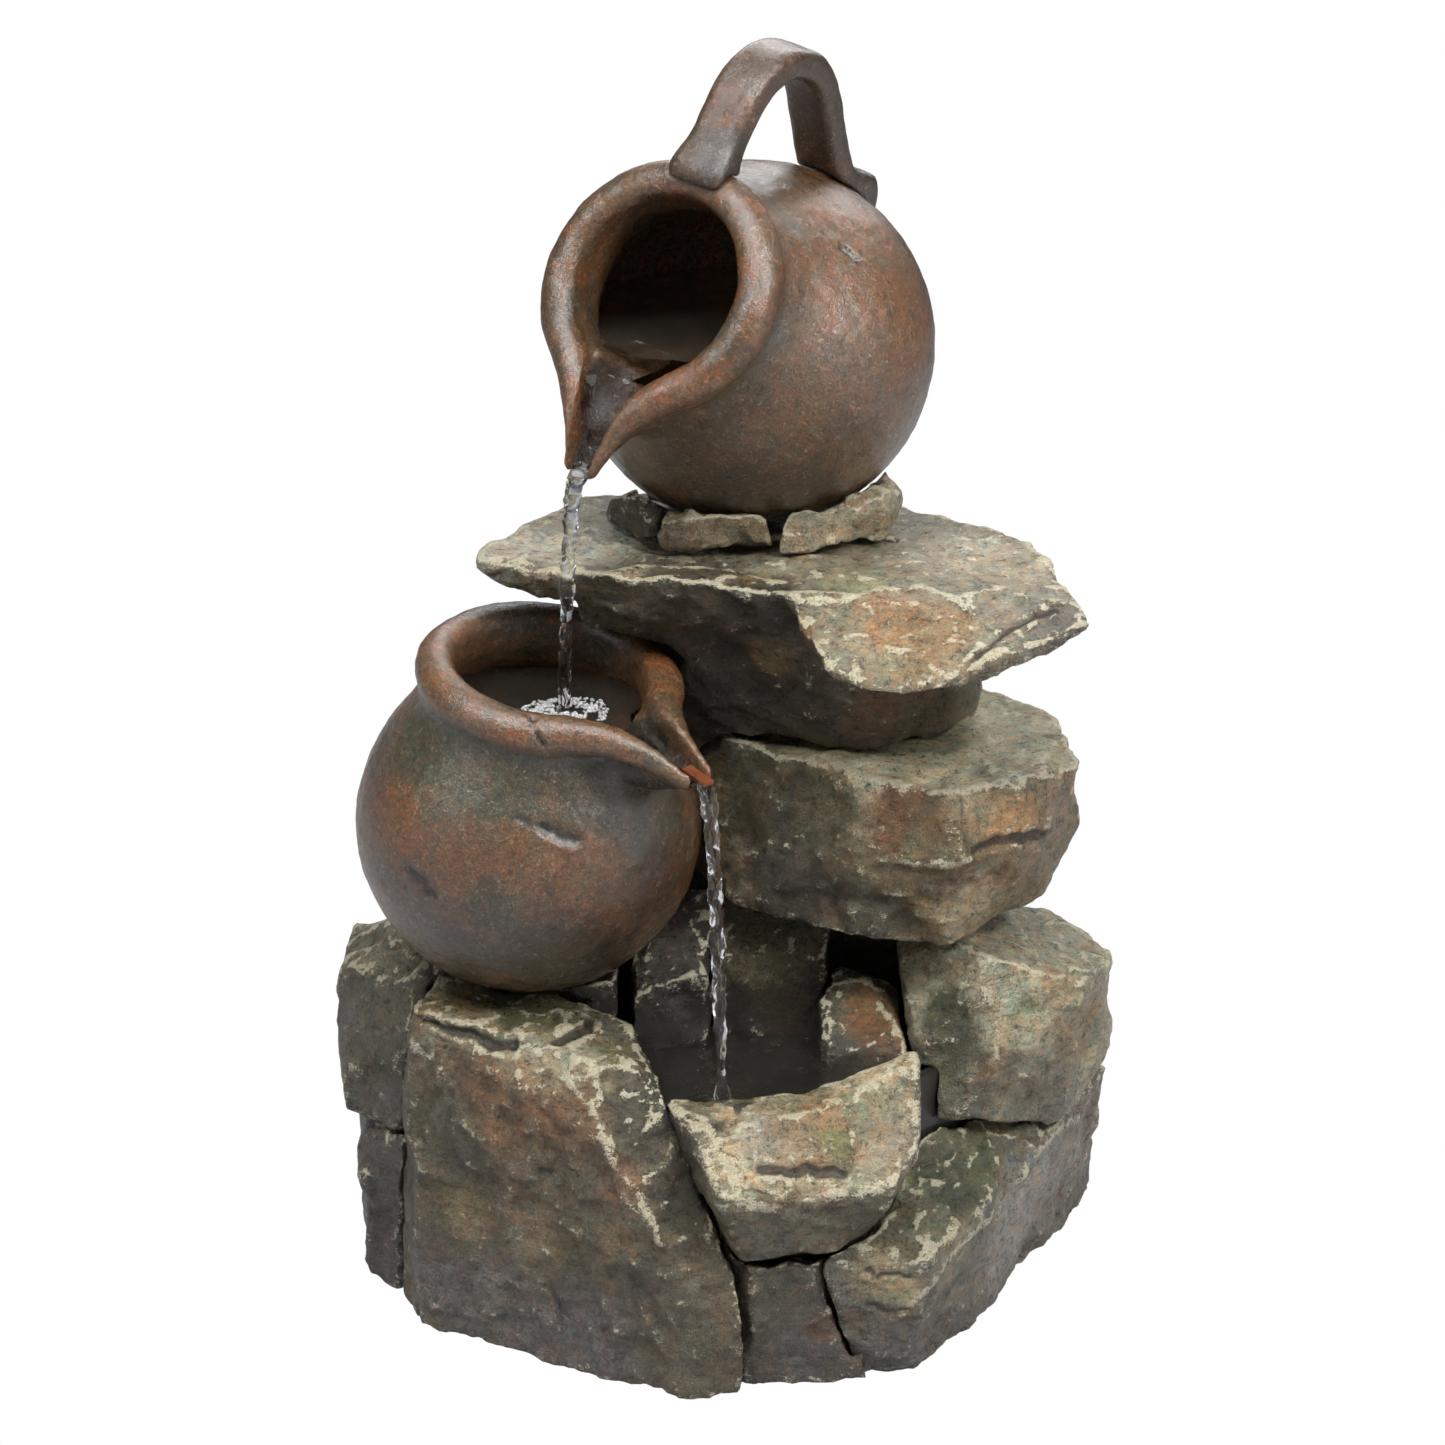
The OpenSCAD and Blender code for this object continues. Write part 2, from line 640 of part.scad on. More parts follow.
// The handle lies in the jug's XZ plane, on the side away from the spout: a front leg on the rim,
// a bow, and a straight rear leg that ends in a flared tail on the body
handle_up = upper_neck - 19;
handle_out = upper_r + 1;
handle_front_leg = 20;
handle_rear_leg = 33;
handle_tail_rise = 11;
handle_sweep = 125;
handle_steps = 30;
function arc(r, from, sweep) = [
  for (i = [0 : handle_steps])
    r * [cos(from + sweep * i / handle_steps), sin(from + sweep * i / handle_steps)]
];
function turned(pts, angle) = [
  for (p = pts) [p[0] * cos(angle) - p[1] * sin(angle), p[0] * sin(angle) + p[1] * cos(angle)]
];
module handle_outline() {
  outer_r = handle_gap_r + handle_t;
  polygon([
    [handle_front_leg, handle_gap_r], [handle_front_leg, outer_r],
    each arc(outer_r, 90, handle_sweep),
    each turned([
      [10 - handle_rear_leg, outer_r], [-1 - handle_rear_leg, outer_r + 3],
      [-9 - handle_rear_leg, outer_r + handle_tail_rise],
      [-12 - handle_rear_leg, outer_r + handle_tail_rise - 2],
      [-9 - handle_rear_leg, handle_gap_r + handle_t / 2], [-handle_rear_leg, handle_gap_r]
    ], handle_sweep),
    each arc(handle_gap_r, 90 + handle_sweep, -handle_sweep)
  ]);
}
module upper_handle() {
  color(jug_brown)
    difference() {
      place_upper()
        translate([-handle_out, 0, handle_up]) rotate([90, 0, 0])
          linear_extrude(height = handle_w, center = true) handle_outline();
      place_upper()
        rotate_extrude($fn = round_fn)
          difference() {
            union() {
              circle(r = upper_r + handle_seat, $fn = round_fn);
              polygon([
                [0, 0], [upper_r * 0.8 + handle_seat, upper_neck / 2],
                [upper_mouth_r + rim_roll_r / 2 + handle_seat, upper_neck], [0, upper_neck]
              ]);
              translate([upper_mouth_r, upper_neck])
                circle(r = rim_roll_r + handle_seat, $fn = round_fn);
              square([upper_mouth_r, upper_neck + 3 * rim_roll_r]);
            }
            translate([-2 * upper_r, -2 * upper_r]) square([2 * upper_r, 5 * upper_r]);
          }
    }
}

module lower_jug() {
  color(jug_brown) place_lower() jug(lower_r, lower_neck, lower_mouth_r, lower_spout);
}

tongue_w = 4;
tongue_t = 1.2;
module pouring_tongue() {
  color("#d9531e")
    place_lower()
      translate([lower_spout - tongue_l + 3, -tongue_w / 2, lower_neck])
        cube([tongue_l, tongue_w, tongue_t]);
}

module jug_inlet() {
  color("#30302e")
    translate([riser_x, riser_y, 0])
      difference() {
        union() {
          translate([0, 0, inlet_flange_z - inlet_tail])
            cylinder(r = inlet_r, h = inlet_tail + inlet_flange_t, $fn = round_fn);
          translate([0, 0, inlet_flange_z])
            cylinder(r = inlet_flange_r, h = inlet_flange_t, $fn = round_fn);
        }
        translate([0, 0, inlet_flange_z - inlet_tail - over])
          cylinder(r = inlet_bore_r, h = inlet_tail + inlet_flange_t + 2 * over, $fn = round_fn);
      }
}

// ---- Rear housing and access door ---------------------------------------------------------------

door_x = 14;
door_z = rim_z + door_sill;
wall_back_y = housing_back_y + stone_edge;
grommet_x = 68;
grommet_z = rim_z + 14;
grommet_r = cord_hole_r + 3;
grommet_lip = 1.5;

module door_opening(grow) {
  translate([door_x - door_w / 2 - grow, wall_back_y - housing_wall - over, door_z - grow])
    cube([door_w + 2 * grow, housing_wall + 2 * over, door_h + 2 * grow]);
}

module rear_housing() {
  color("#4c473c")
    difference() {
      stone(housing_pts);
      stone(hollow(housing_pts, housing_wall));
      door_opening(0);
      duct();
      translate([grommet_x, wall_back_y + over, grommet_z]) rotate([90, 0, 0])
        cylinder(r = grommet_r, h = housing_wall + 2 * over, $fn = round_fn);
    }
}

module access_door() {
  color("#44403a")
    difference() {
      union() {
        translate([door_x - door_w / 2 + door_gap, wall_back_y - housing_wall, door_z + door_gap])
          cube([door_w - 2 * door_gap, housing_wall + door_gap + 0.1, door_h - 2 * door_gap]);
        translate([door_x - door_w / 2 - door_lap, wall_back_y + bond, door_z - door_lap])
          cube([door_w + 2 * door_lap, door_flange_t, door_h + 2 * door_lap]);
      }
      for (s = [-1, 1])
        translate([door_x + s * door_w / 4, wall_back_y + bond + door_flange_t + scoop_r / 2,
                   door_z + door_h / 2])
          sphere(r = scoop_r, $fn = round_fn);
    }
}

module cord_grommet() {
  color("#1f1f1f")
    translate([grommet_x, wall_back_y, grommet_z]) rotate([90, 0, 0])
      difference() {
        union() {
          cylinder(r = grommet_r - 0.1, h = housing_wall, $fn = round_fn);
          translate([0, 0, -grommet_lip])
            cylinder(r = grommet_r + 2, h = grommet_lip, $fn = round_fn);
        }
        translate([0, 0, -grommet_lip - over])
          cylinder(r = cord_hole_r, h = housing_wall + grommet_lip + 2 * over, $fn = round_fn);
      }
}

// ---- Pump: the rotor turns about an axis along Y, the motor block lies behind the chamber ----------

pump_z = tub_floor_z + cup_h;
pump_top_z = pump_z + pump_h;
volute_y = riser_y - volute_l / 2;
motor_y = volute_y + volute_l;
axis_z = pump_top_z - 16;
volute_w = pump_w - 8;
volute_h = 34;
volute_wall = 2;
chamber_r = impeller_r + 1.5;
inlet_hole_r = 7;
well_r = rotor_r + 0.7;
rotor_y = motor_y + 2;
rotor_l = motor_l - 5.5;
bush_l = 2;
bush_r = shaft_r + 1.3;
bush_fit = 0.1;
boss_r = bush_r + 1.2;
port_r = 5;
screw_r = 1.5;
screw_head_r = 2.6;
screw_l = 18;

module along_y(x, y, z) {
  translate([x, y, z]) rotate([-90, 0, 0]) children();
}

module core_shape(grow) {
  for (s = [-1, 1])
    translate([riser_x + s * (well_r + 5) - 3 - grow, motor_y + 7 - grow, pump_z + 5 - grow])
      cube([6 + 2 * grow, 10 + 2 * grow, axis_z + 6 - pump_z - 5 + 2 * grow]);
  translate([riser_x - well_r - 8 - grow, motor_y + 7 - grow, pump_z + 5 - grow])
    cube([2 * (well_r + 8) + 2 * grow, 10 + 2 * grow, 6 + 2 * grow]);
}
coil_w = 2 * well_r;
module coil_shape(grow) {
  translate([riser_x - coil_w / 2 - grow, motor_y + 4.5 - grow, pump_z + 2.5 - grow])
    cube([coil_w + 2 * grow, 15 + 2 * grow, 11 + 2 * grow]);
}

module at_screws() {
  for (sx = [-1, 1])
    for (sz = [-1, 1])
      translate([riser_x + sx * (volute_w / 2 - 3.5), volute_y, axis_z - 1 + sz * 12.5])
        rotate([-90, 0, 0]) children();
}
module screw_shape(grow) {
  translate([0, 0, -grow]) cylinder(r = screw_head_r + grow, h = 2 + grow, $fn = round_fn);
  cylinder(r = screw_r + grow, h = screw_l + grow, $fn = round_fn);
}

module pump_body() {
  color("#23262a")
    difference() {
      translate([riser_x - pump_w / 2, motor_y, pump_z]) cube([pump_w, motor_l, pump_h]);
      along_y(riser_x, motor_y - over, axis_z)
        cylinder(r = well_r, h = rotor_y - motor_y + rotor_l + 0.5 + over, $fn = round_fn);
      along_y(riser_x, motor_y, axis_z)
        cylinder(r = bush_r + bush_fit, h = rotor_y - motor_y + rotor_l + 0.5 + bush_l,
                 $fn = round_fn);
      core_shape(bush_fit);
      coil_shape(bush_fit);
      at_screws() screw_shape(bush_fit);
    }
}

module stator_core() {
  color("#8c8f93") core_shape(0);
}

module stator_coil() {
  color("#b0642c")
    difference() {
      coil_shape(0);
      core_shape(bush_fit);
    }
}

rail_h = 1.5;
regulator_t = 1.5;
regulator_w = 12;
regulator_h = 2 * inlet_hole_r + 1;
slide_fit = 0.35;
screen_w = volute_w - 2;
screen_h = volute_h - 4;
screen_l = 9;
screen_wall = 1.5;
regulator_x = riser_x - regulator_w - 1;
regulator_y = volute_y - slide_fit - regulator_t;

module pump_volute() {
  color("#2b2f34")
    difference() {
      union() {
        translate([riser_x - volute_w / 2, volute_y, pump_top_z - volute_h])
          cube([volute_w, volute_l, volute_h]);
        for (s = [-1, 1])
          translate([riser_x - screen_w / 2 + screen_wall + slide_fit,
                     volute_y - slide_fit - regulator_t,
                     axis_z + s * (regulator_h / 2 + slide_fit + rail_h / 2) - rail_h / 2])
            cube([screen_w - 2 * screen_wall - 2 * slide_fit, slide_fit + regulator_t, rail_h]);
      }
      along_y(riser_x, volute_y + volute_wall, axis_z)
        cylinder(r = chamber_r, h = volute_l, $fn = round_fn);
      difference() {
        along_y(riser_x, volute_y - over, axis_z)
          cylinder(r = inlet_hole_r, h = volute_wall + 2 * over, $fn = round_fn);
        along_y(riser_x, volute_y, axis_z) {
          cylinder(r = boss_r, h = volute_wall, $fn = round_fn);
          for (a = [90 : 120 : 330])
            rotate([0, 0, a]) translate([0, -0.8, 0]) cube([inlet_hole_r + 1, 1.6, volute_wall]);
        }
      }
      along_y(riser_x, volute_y - over, axis_z)
        cylinder(r = bush_r + bush_fit, h = volute_wall + 2 * over, $fn = round_fn);
      translate([riser_x, riser_y, axis_z])
        cylinder(r = port_r, h = pump_top_z - axis_z + over, $fn = round_fn);
      at_screws() screw_shape(bush_fit);
    }
}

module volute_screws() {
  color("#c0c2c4") at_screws() screw_shape(0);
}

module impeller() {
  color("#5a6066")
    difference() {
      union() {
        along_y(riser_x, rotor_y, axis_z) cylinder(r = rotor_r, h = rotor_l, $fn = round_fn);
        along_y(riser_x, motor_y - 3.5, axis_z) cylinder(r = impeller_r, h = 1.5, $fn = round_fn);
        along_y(riser_x, motor_y - 3, axis_z)
          cylinder(r = rotor_r - 2, h = rotor_y - motor_y + 4, $fn = round_fn);
        along_y(riser_x, volute_y + volute_wall + 2, axis_z)
          cylinder(r = boss_r, h = motor_y - 3 - volute_y - volute_wall - 2, $fn = round_fn);
        for (i = [0 : vane_count - 1])
          along_y(riser_x, volute_y + volute_wall + 2, axis_z)
            rotate([0, 0, i * 360 / vane_count]) translate([boss_r - 0.5, -0.6, 0])
              cube([impeller_r - boss_r, 1.2, motor_y - 3 - volute_y - volute_wall - 2]);
      }
      along_y(riser_x, volute_y, axis_z)
        cylinder(r = shaft_r + shaft_fit, h = volute_l + motor_l, $fn = round_fn);
    }
}

module impeller_shaft() {
  color("#e8e6df")
    along_y(riser_x, volute_y, axis_z)
      cylinder(r = shaft_r, h = rotor_y + rotor_l + 0.5 + bush_l - volute_y, $fn = round_fn);
}

module bush_at(y) {
  along_y(riser_x, y, axis_z) tube(bush_r, shaft_r + shaft_fit, bush_l);
}
module front_bush() {
  color("#111111") bush_at(volute_y);
}
module rear_bush() {
  color("#111111") bush_at(rotor_y + rotor_l + 0.5);
}

nozzle_flange_t = 3;
nozzle_h = 18;
nozzle_spigot = 5;
module outlet_nozzle() {
  color("#2b2f34")
    translate([riser_x, riser_y, pump_top_z])
      difference() {
        union() {
          translate([0, 0, -nozzle_spigot])
            cylinder(r = port_r - bush_fit, h = nozzle_spigot, $fn = round_fn);
          cylinder(r = hose_r + 1, h = nozzle_flange_t, $fn = round_fn);
          cylinder(r = inlet_r, h = nozzle_h, $fn = round_fn);
        }
        translate([0, 0, -nozzle_spigot - over])
          cylinder(r = inlet_bore_r, h = nozzle_spigot + nozzle_h + 2 * over, $fn = round_fn);
      }
}

tab_x = regulator_x + regulator_w / 2;
tab_w = 3;
module flow_regulator() {
  color("#c8762a") {
    translate([regulator_x, regulator_y, axis_z - regulator_h / 2])
      cube([regulator_w, regulator_t, regulator_h]);
    translate([tab_x - tab_w / 2, regulator_y - 3, axis_z - regulator_h / 2])
      cube([tab_w, 3, regulator_h / 2 + pump_top_z + 1 - axis_z]);
  }
}

// The screen lifts off towards the pool; its notch lets the regulator's tab through
module intake_screen() {
  color("#2b2f34")
    difference() {
      translate([riser_x - screen_w / 2, volute_y - bond - screen_l, pump_top_z - 2 - screen_h])
        cube([screen_w, screen_l, screen_h]);
      translate([riser_x - screen_w / 2 + screen_wall, volute_y - bond - screen_l + screen_wall,
                 pump_top_z - 2 - screen_h + screen_wall])
        cube([screen_w - 2 * screen_wall, screen_l, screen_h - 2 * screen_wall]);
      for (i = [0 : screen_slots - 1])
        translate([riser_x + (i - (screen_slots - 1) / 2) * 4 - 1,
                   volute_y - bond - screen_l - over, pump_top_z - screen_h + 3])
          cube([2, screen_wall + 2 * over, screen_h - 10]);
      translate([tab_x - tab_w / 2 - slide_fit, regulator_y - 3 - slide_fit,
                 pump_top_z - 2 - 2 * screen_wall])
        cube([tab_w + regulator_travel + 2 * slide_fit, screen_l, 3 * screen_wall]);
    }
}

module suction_cups() {
  color("#d8d4c8")
    for (sx = [-1, 1])
      for (sy = [-1, 1])
        translate([riser_x + sx * (pump_w / 2 - cup_r - 1),
                   motor_y + motor_l / 2 + sy * (motor_l / 2 - cup_r), tub_floor_z])
          difference() {
            union() {
              cylinder(r = cup_r - 0.2, h = 1, $fn = round_fn);
              translate([0, 0, 1])
                cylinder(r1 = cup_r - 0.2, r2 = cup_r / 2, h = cup_h / 2 - 1, $fn = round_fn);
              cylinder(r = cup_r / 2, h = cup_h, $fn = round_fn);
            }
            translate([0, 0, -over]) cylinder(r = cup_r / 3, h = cup_h / 3 + over, $fn = round_fn);
          }
}

hose_low_z = pump_top_z + nozzle_flange_t + bond;
hose_top_z = slab_top_z - bond;
clip_w = 5;
clip_t = 1;
module riser_hose() {
  color("#9fb0ae", 0.8)
    translate([riser_x, riser_y, hose_low_z])
      tube(hose_r, hose_r - hose_wall, hose_top_z - hose_low_z);
}

// One spring clip grips the hose on the nozzle
module hose_clip() {
  color("#b9bcc0")
    translate([riser_x, riser_y, hose_low_z + 4])
      tube(hose_r + 0.1 + clip_t, hose_r + 0.1, clip_w);
}

reservoir_tub();
base_plate();
rubber_feet();
front_left_rock();
upper_left_rock();
lower_left_rock();
spill_lip_rock();
front_low_rock();
front_right_rock();
right_rock();
pool_middle_rock();
pool_right_rock();
pool_left_rock();
jug_seat_rock();
back_left_rock();
back_right_rock();
back_middle_rock();
middle_boulder();
column_rock();
neck_rock();
top_slab();
collar_stone_left();
collar_stone_front();
collar_stone_right();
collar_stone_back();
upper_jug();
upper_handle();
lower_jug();
pouring_tongue();
jug_inlet();
rear_housing();
access_door();
cord_grommet();
pump_body();
pump_volute();
volute_screws();
impeller();
impeller_shaft();
front_bush();
rear_bush();
stator_core();
stator_coil();
outlet_nozzle();
flow_regulator();
intake_screen();
suction_cups();
riser_hose();
hose_clip();
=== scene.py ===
"""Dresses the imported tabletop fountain: carved stones, two clay-look jugs, water and small parts."""

import json
import math

import bpy
import numpy as np
from mathutils import Matrix, Vector
from mathutils.bvhtree import BVHTree


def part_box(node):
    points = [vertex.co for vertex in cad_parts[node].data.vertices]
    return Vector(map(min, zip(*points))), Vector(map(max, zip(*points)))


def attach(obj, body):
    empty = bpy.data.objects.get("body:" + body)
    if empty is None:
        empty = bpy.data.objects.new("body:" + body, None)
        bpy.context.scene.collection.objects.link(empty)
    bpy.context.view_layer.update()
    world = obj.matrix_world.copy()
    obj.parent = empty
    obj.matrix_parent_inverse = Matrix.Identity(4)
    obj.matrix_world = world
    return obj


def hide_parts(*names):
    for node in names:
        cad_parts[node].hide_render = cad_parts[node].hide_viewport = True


MM = 0.001

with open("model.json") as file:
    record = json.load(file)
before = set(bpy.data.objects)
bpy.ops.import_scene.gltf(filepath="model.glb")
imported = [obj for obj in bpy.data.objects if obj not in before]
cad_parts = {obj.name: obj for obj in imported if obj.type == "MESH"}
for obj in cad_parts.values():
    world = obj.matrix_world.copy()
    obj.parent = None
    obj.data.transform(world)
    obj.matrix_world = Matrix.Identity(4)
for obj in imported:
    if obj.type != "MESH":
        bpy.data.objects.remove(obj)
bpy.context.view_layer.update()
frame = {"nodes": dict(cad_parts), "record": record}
nodes = frame["nodes"]
ROOT = "fountain"


# ---- Noise and mesh maths, all in millimetres ------------------------------------------------------

def hashed(ix, iy, iz, seed):
    """A repeatable random number from -1 to 1 for each whole-number cell."""
    h = (ix.astype(np.uint32) * np.uint32(374761393) + iy.astype(np.uint32) * np.uint32(668265263)
         + iz.astype(np.uint32) * np.uint32(3266489917) + np.uint32(seed * 2654435 + 97))
    h = (h ^ (h >> np.uint32(13))) * np.uint32(1274126177)
    h = (h ^ (h >> np.uint32(15))) * np.uint32(2246822519)
    h ^= h >> np.uint32(16)
    return h.astype(np.float32) / np.float32(2**31) - 1


def value_noise(p, size, seed=0):
    """Smooth noise from -1 to 1 with lumps about size mm across (size may be one number or three)."""
    q = p / np.asarray(size, float) + seed * 17.31 + 1000
    i = np.floor(q).astype(np.int64)
    f = (q - i).astype(np.float32)
    f = f * f * f * (f * (f * 6 - 15) + 10)
    out = np.zeros(len(p), np.float32)
    for dx in (0, 1):
        wx = f[:, 0] if dx else 1 - f[:, 0]
        for dy in (0, 1):
            wy = f[:, 1] if dy else 1 - f[:, 1]
            for dz in (0, 1):
                wz = f[:, 2] if dz else 1 - f[:, 2]
                out += wx * wy * wz * hashed(i[:, 0] + dx, i[:, 1] + dy, i[:, 2] + dz, seed)
    return out


def fbm(p, size, octaves=3, seed=0, gain=0.5):
    out, amp, total = np.zeros(len(p), np.float32), 1.0, 0.0
    size = np.asarray(size, float)
    for k in range(octaves):
        out += amp * value_noise(p, size / 2**k, seed + 31 * k)
        total += amp
        amp *= gain
    return out / total


def step(x, low, high):
    t = np.clip((x - low) / (high - low), 0, 1)
    return t * t * (3 - 2 * t)


def unit(v):
    return v / np.maximum(np.linalg.norm(v, axis=-1, keepdims=True), 1e-9)


class Surface:
    """A mesh as numpy arrays: points in mm, quads or triangles, and the neighbours of each point."""

    def __init__(self, points, faces):
        self.p = np.asarray(points, float)
        self.faces = np.asarray(faces)
        k = self.faces.shape[1]
        pairs = np.vstack([self.faces[:, [j, (j + 1) % k]] for j in range(k)])
        pairs.sort(axis=1)
        self.edges = np.unique(pairs, axis=0)
        self.count = np.maximum(np.bincount(self.edges.ravel(), minlength=len(self.p)), 1)[:, None]

    def average(self, values):
        """The mean of each point's neighbours."""
        a, b = self.edges[:, 0], self.edges[:, 1]
        n = len(self.p)
        v = values if values.ndim == 2 else values[:, None]
        total = np.stack([np.bincount(a, v[b, j], n) + np.bincount(b, v[a, j], n)
                          for j in range(v.shape[1])], axis=1)
        out = total / self.count
        return out if values.ndim == 2 else out[:, 0]

    def smoothed(self, values, rounds, amount=0.6):
        for _ in range(rounds):
            values = values + amount * (self.average(values) - values)
        return values

    def normals(self, points=None):
        p = self.p if points is None else points
        f = self.faces
        if f.shape[1] == 4:
            n = np.cross(p[f[:, 2]] - p[f[:, 0]], p[f[:, 3]] - p[f[:, 1]])
        else:
            n = np.cross(p[f[:, 1]] - p[f[:, 0]], p[f[:, 2]] - p[f[:, 0]])
        out = np.stack([sum(np.bincount(f[:, j], n[:, k], len(p)) for j in range(f.shape[1]))
                        for k in range(3)], axis=1)
        return unit(out)

    def push(self, out):
        """Moves each point out along its normal, by so many mm."""
        self.p = self.p + self.normals() * out[:, None]

    def bulge(self, rounds, scale):
        """How far each point stands out of its smoothed surroundings, over scale: ridges are positive."""
        s = self.smoothed(self.p, rounds)
        return np.einsum("ij,ij->i", self.p - s, self.normals(s)) / scale


def placed(name, data):
    """A new object in the scene."""
    obj = bpy.data.objects.new(name, data)
    bpy.context.scene.collection.objects.link(obj)
    return obj


def joined(names):
    """The corners and faces of several CAD nodes in metres, and which node each face belongs to."""
    points, faces, owner = [], [], []
    for name in names:
        start, mesh = len(points), nodes[name].data
        points.extend(v.co[:] for v in mesh.vertices)
        faces.extend(tuple(start + i for i in f.vertices) for f in mesh.polygons)
        owner.extend([name] * len(mesh.polygons))
    return points, faces, owner


def remeshed(names, voxel):
    """A Surface with an even grid of quads over the shape of one or more CAD nodes."""
    points, faces, _ = joined(names)
    work = bpy.data.meshes.new("remesh_work")
    work.from_pydata(points, [], faces)
    copy = placed("remesh_work", work)
    mod = copy.modifiers.new("remesh", "REMESH")
    mod.mode = "VOXEL"
    mod.voxel_size = voxel * MM
    mod.adaptivity = 0
    done = copy.evaluated_get(bpy.context.evaluated_depsgraph_get()).to_mesh()
    co = np.zeros(len(done.vertices) * 3)
    done.vertices.foreach_get("co", co)
    faces = np.zeros(len(done.polygons) * 4, np.int64)
    done.polygons.foreach_get("vertices", faces)
    bpy.data.objects.remove(copy)
    bpy.data.meshes.remove(work)
    return Surface(co.reshape(-1, 3) / MM, faces.reshape(-1, 4))


def woven(rows, columns, closed=False):
    """Quads over points that run row by row; closed joins the last column to the first."""
    k = np.arange(rows * columns).reshape(rows, columns)
    n = np.roll(k, -1, 1)
    if not closed:
        k, n = k[:, :-1], n[:, :-1]
    return np.stack([k[:-1], k[1:], n[1:], n[:-1]], -1).reshape(-1, 4)


def build(name, surface, material, attributes=None, body=ROOT):
    """The Blender object of a Surface, smooth shaded, with its point attributes."""
    mesh = bpy.data.meshes.new(name)
    f = surface.faces
    mesh.vertices.add(len(surface.p))
    mesh.vertices.foreach_set("co", (surface.p * MM).astype(np.float32).ravel())
    mesh.loops.add(f.size)
    mesh.loops.foreach_set("vertex_index", f.astype(np.int32).ravel())
    mesh.polygons.add(len(f))
    mesh.polygons.foreach_set("loop_start", np.arange(0, f.size, f.shape[1], dtype=np.int32))
    mesh.polygons.foreach_set("use_smooth", np.ones(len(f), bool))
    mesh.update(calc_edges=True)
    for key, values in (attributes or {}).items():
        if values.ndim == 2:
            a = mesh.color_attributes.new(key, "FLOAT_COLOR", "POINT")
            rgba = np.ones((len(values), 4), np.float32)
            rgba[:, :3] = values
            a.data.foreach_set("color", rgba.ravel())
        else:
            a = mesh.attributes.new(key, "FLOAT", "POINT")
            a.data.foreach_set("value", values.astype(np.float32))
    obj = placed(name, mesh)
    mesh.materials.append(material)
    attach(obj, body)
    return obj


# ---- Materials -------------------------------------------------------------------------------------

class Shader:
    """A Principled material with short calls for the nodes used here."""

    def __init__(self, name, **sockets):
        self.mat = bpy.data.materials.new(name)
        self.mat.use_nodes = True
        self.nodes = self.mat.node_tree.nodes
        self.links = self.mat.node_tree.links
        self.bsdf = self.nodes["Principled BSDF"]
        for key, value in sockets.items():
            self.bsdf.inputs[key.replace("_", " ")].default_value = value
        self.space = self.nodes.new("ShaderNodeTexCoord").outputs["Object"]

    def link(self, a, b):
        self.links.new(a, b)

    def attribute(self, name, output="Fac"):
        n = self.nodes.new("ShaderNodeAttribute")
        n.attribute_name = name
        return n.outputs[output]

    def noise(self, size_mm, detail=4, roughness=0.55, stretch=(1, 1, 1), distortion=0.0):
        m = self.nodes.new("ShaderNodeMapping")
        m.inputs["Scale"].default_value = [k / (size_mm * MM) for k in stretch]
        self.link(self.space, m.inputs["Vector"])
        n = self.nodes.new("ShaderNodeTexNoise")
        n.inputs["Scale"].default_value = 1
        n.inputs["Detail"].default_value = detail
        n.inputs["Roughness"].default_value = roughness
        n.inputs["Distortion"].default_value = distortion
        self.link(m.outputs["Vector"], n.inputs["Vector"])
        return n.outputs["Fac"]

    def ramp(self, value, low, high, out_low=0.0, out_high=1.0):
        n = self.nodes.new("ShaderNodeMapRange")
        n.interpolation_type = "SMOOTHSTEP"
        for key, v in (("From Min", low), ("From Max", high), ("To Min", out_low), ("To Max", out_high)):
            n.inputs[key].default_value = v
        self.link(value, n.inputs["Value"])
        return n.outputs["Result"]

    def math(self, kind, a, b):
        n = self.nodes.new("ShaderNodeMath")
        n.operation = kind
        for i, v in enumerate((a, b)):
            if isinstance(v, (int, float)):
                n.inputs[i].default_value = v
            else:
                self.link(v, n.inputs[i])
        return n.outputs[0]

    def sum(self, *terms):
        """The sum of (value, weight) pairs."""
        out = None
        for value, weight in terms:
            part = self.math("MULTIPLY", value, weight)
            out = part if out is None else self.math("ADD", out, part)
        return out

    def mix(self, factor, a, b, blend="MIX"):
        n = self.nodes.new("ShaderNodeMix")
        n.data_type = "RGBA"
        n.blend_type = blend
        if isinstance(factor, (int, float)):
            n.inputs["Factor"].default_value = factor
        else:
            self.link(factor, n.inputs["Factor"])
        for key, v in (("A", a), ("B", b)):
            socket = [i for i in n.inputs if i.name == key and i.type == "RGBA"][0]
            if isinstance(v, tuple):
                socket.default_value = (*v, 1)
            else:
                self.link(v, socket)
        return [o for o in n.outputs if o.type == "RGBA"][0]

    def times(self, a, b):
        return self.mix(1.0, a, b, "MULTIPLY")

    def over(self, color, mask, tone, strength):
        """Tone laid over color where mask is 1."""
        return self.mix(self.math("MULTIPLY", mask, strength), color, tone)

    def grey(self, value):
        n = self.nodes.new("ShaderNodeCombineColor")
        for i in range(3):
            self.link(value, n.inputs[i])
        return n.outputs["Color"]

    def bump(self, height, strength, distance_mm):
        n = self.nodes.new("ShaderNodeBump")
        n.inputs["Strength"].default_value = strength
        n.inputs["Distance"].default_value = distance_mm * MM
        self.link(height, n.inputs["Height"])
        return n.outputs["Normal"]

    def finish(self, color=None, roughness=None, normal=None):
        for key, v in (("Base Color", color), ("Roughness", roughness), ("Normal", normal)):
            if v is not None:
                self.link(v, self.bsdf.inputs[key])
        return self.mat


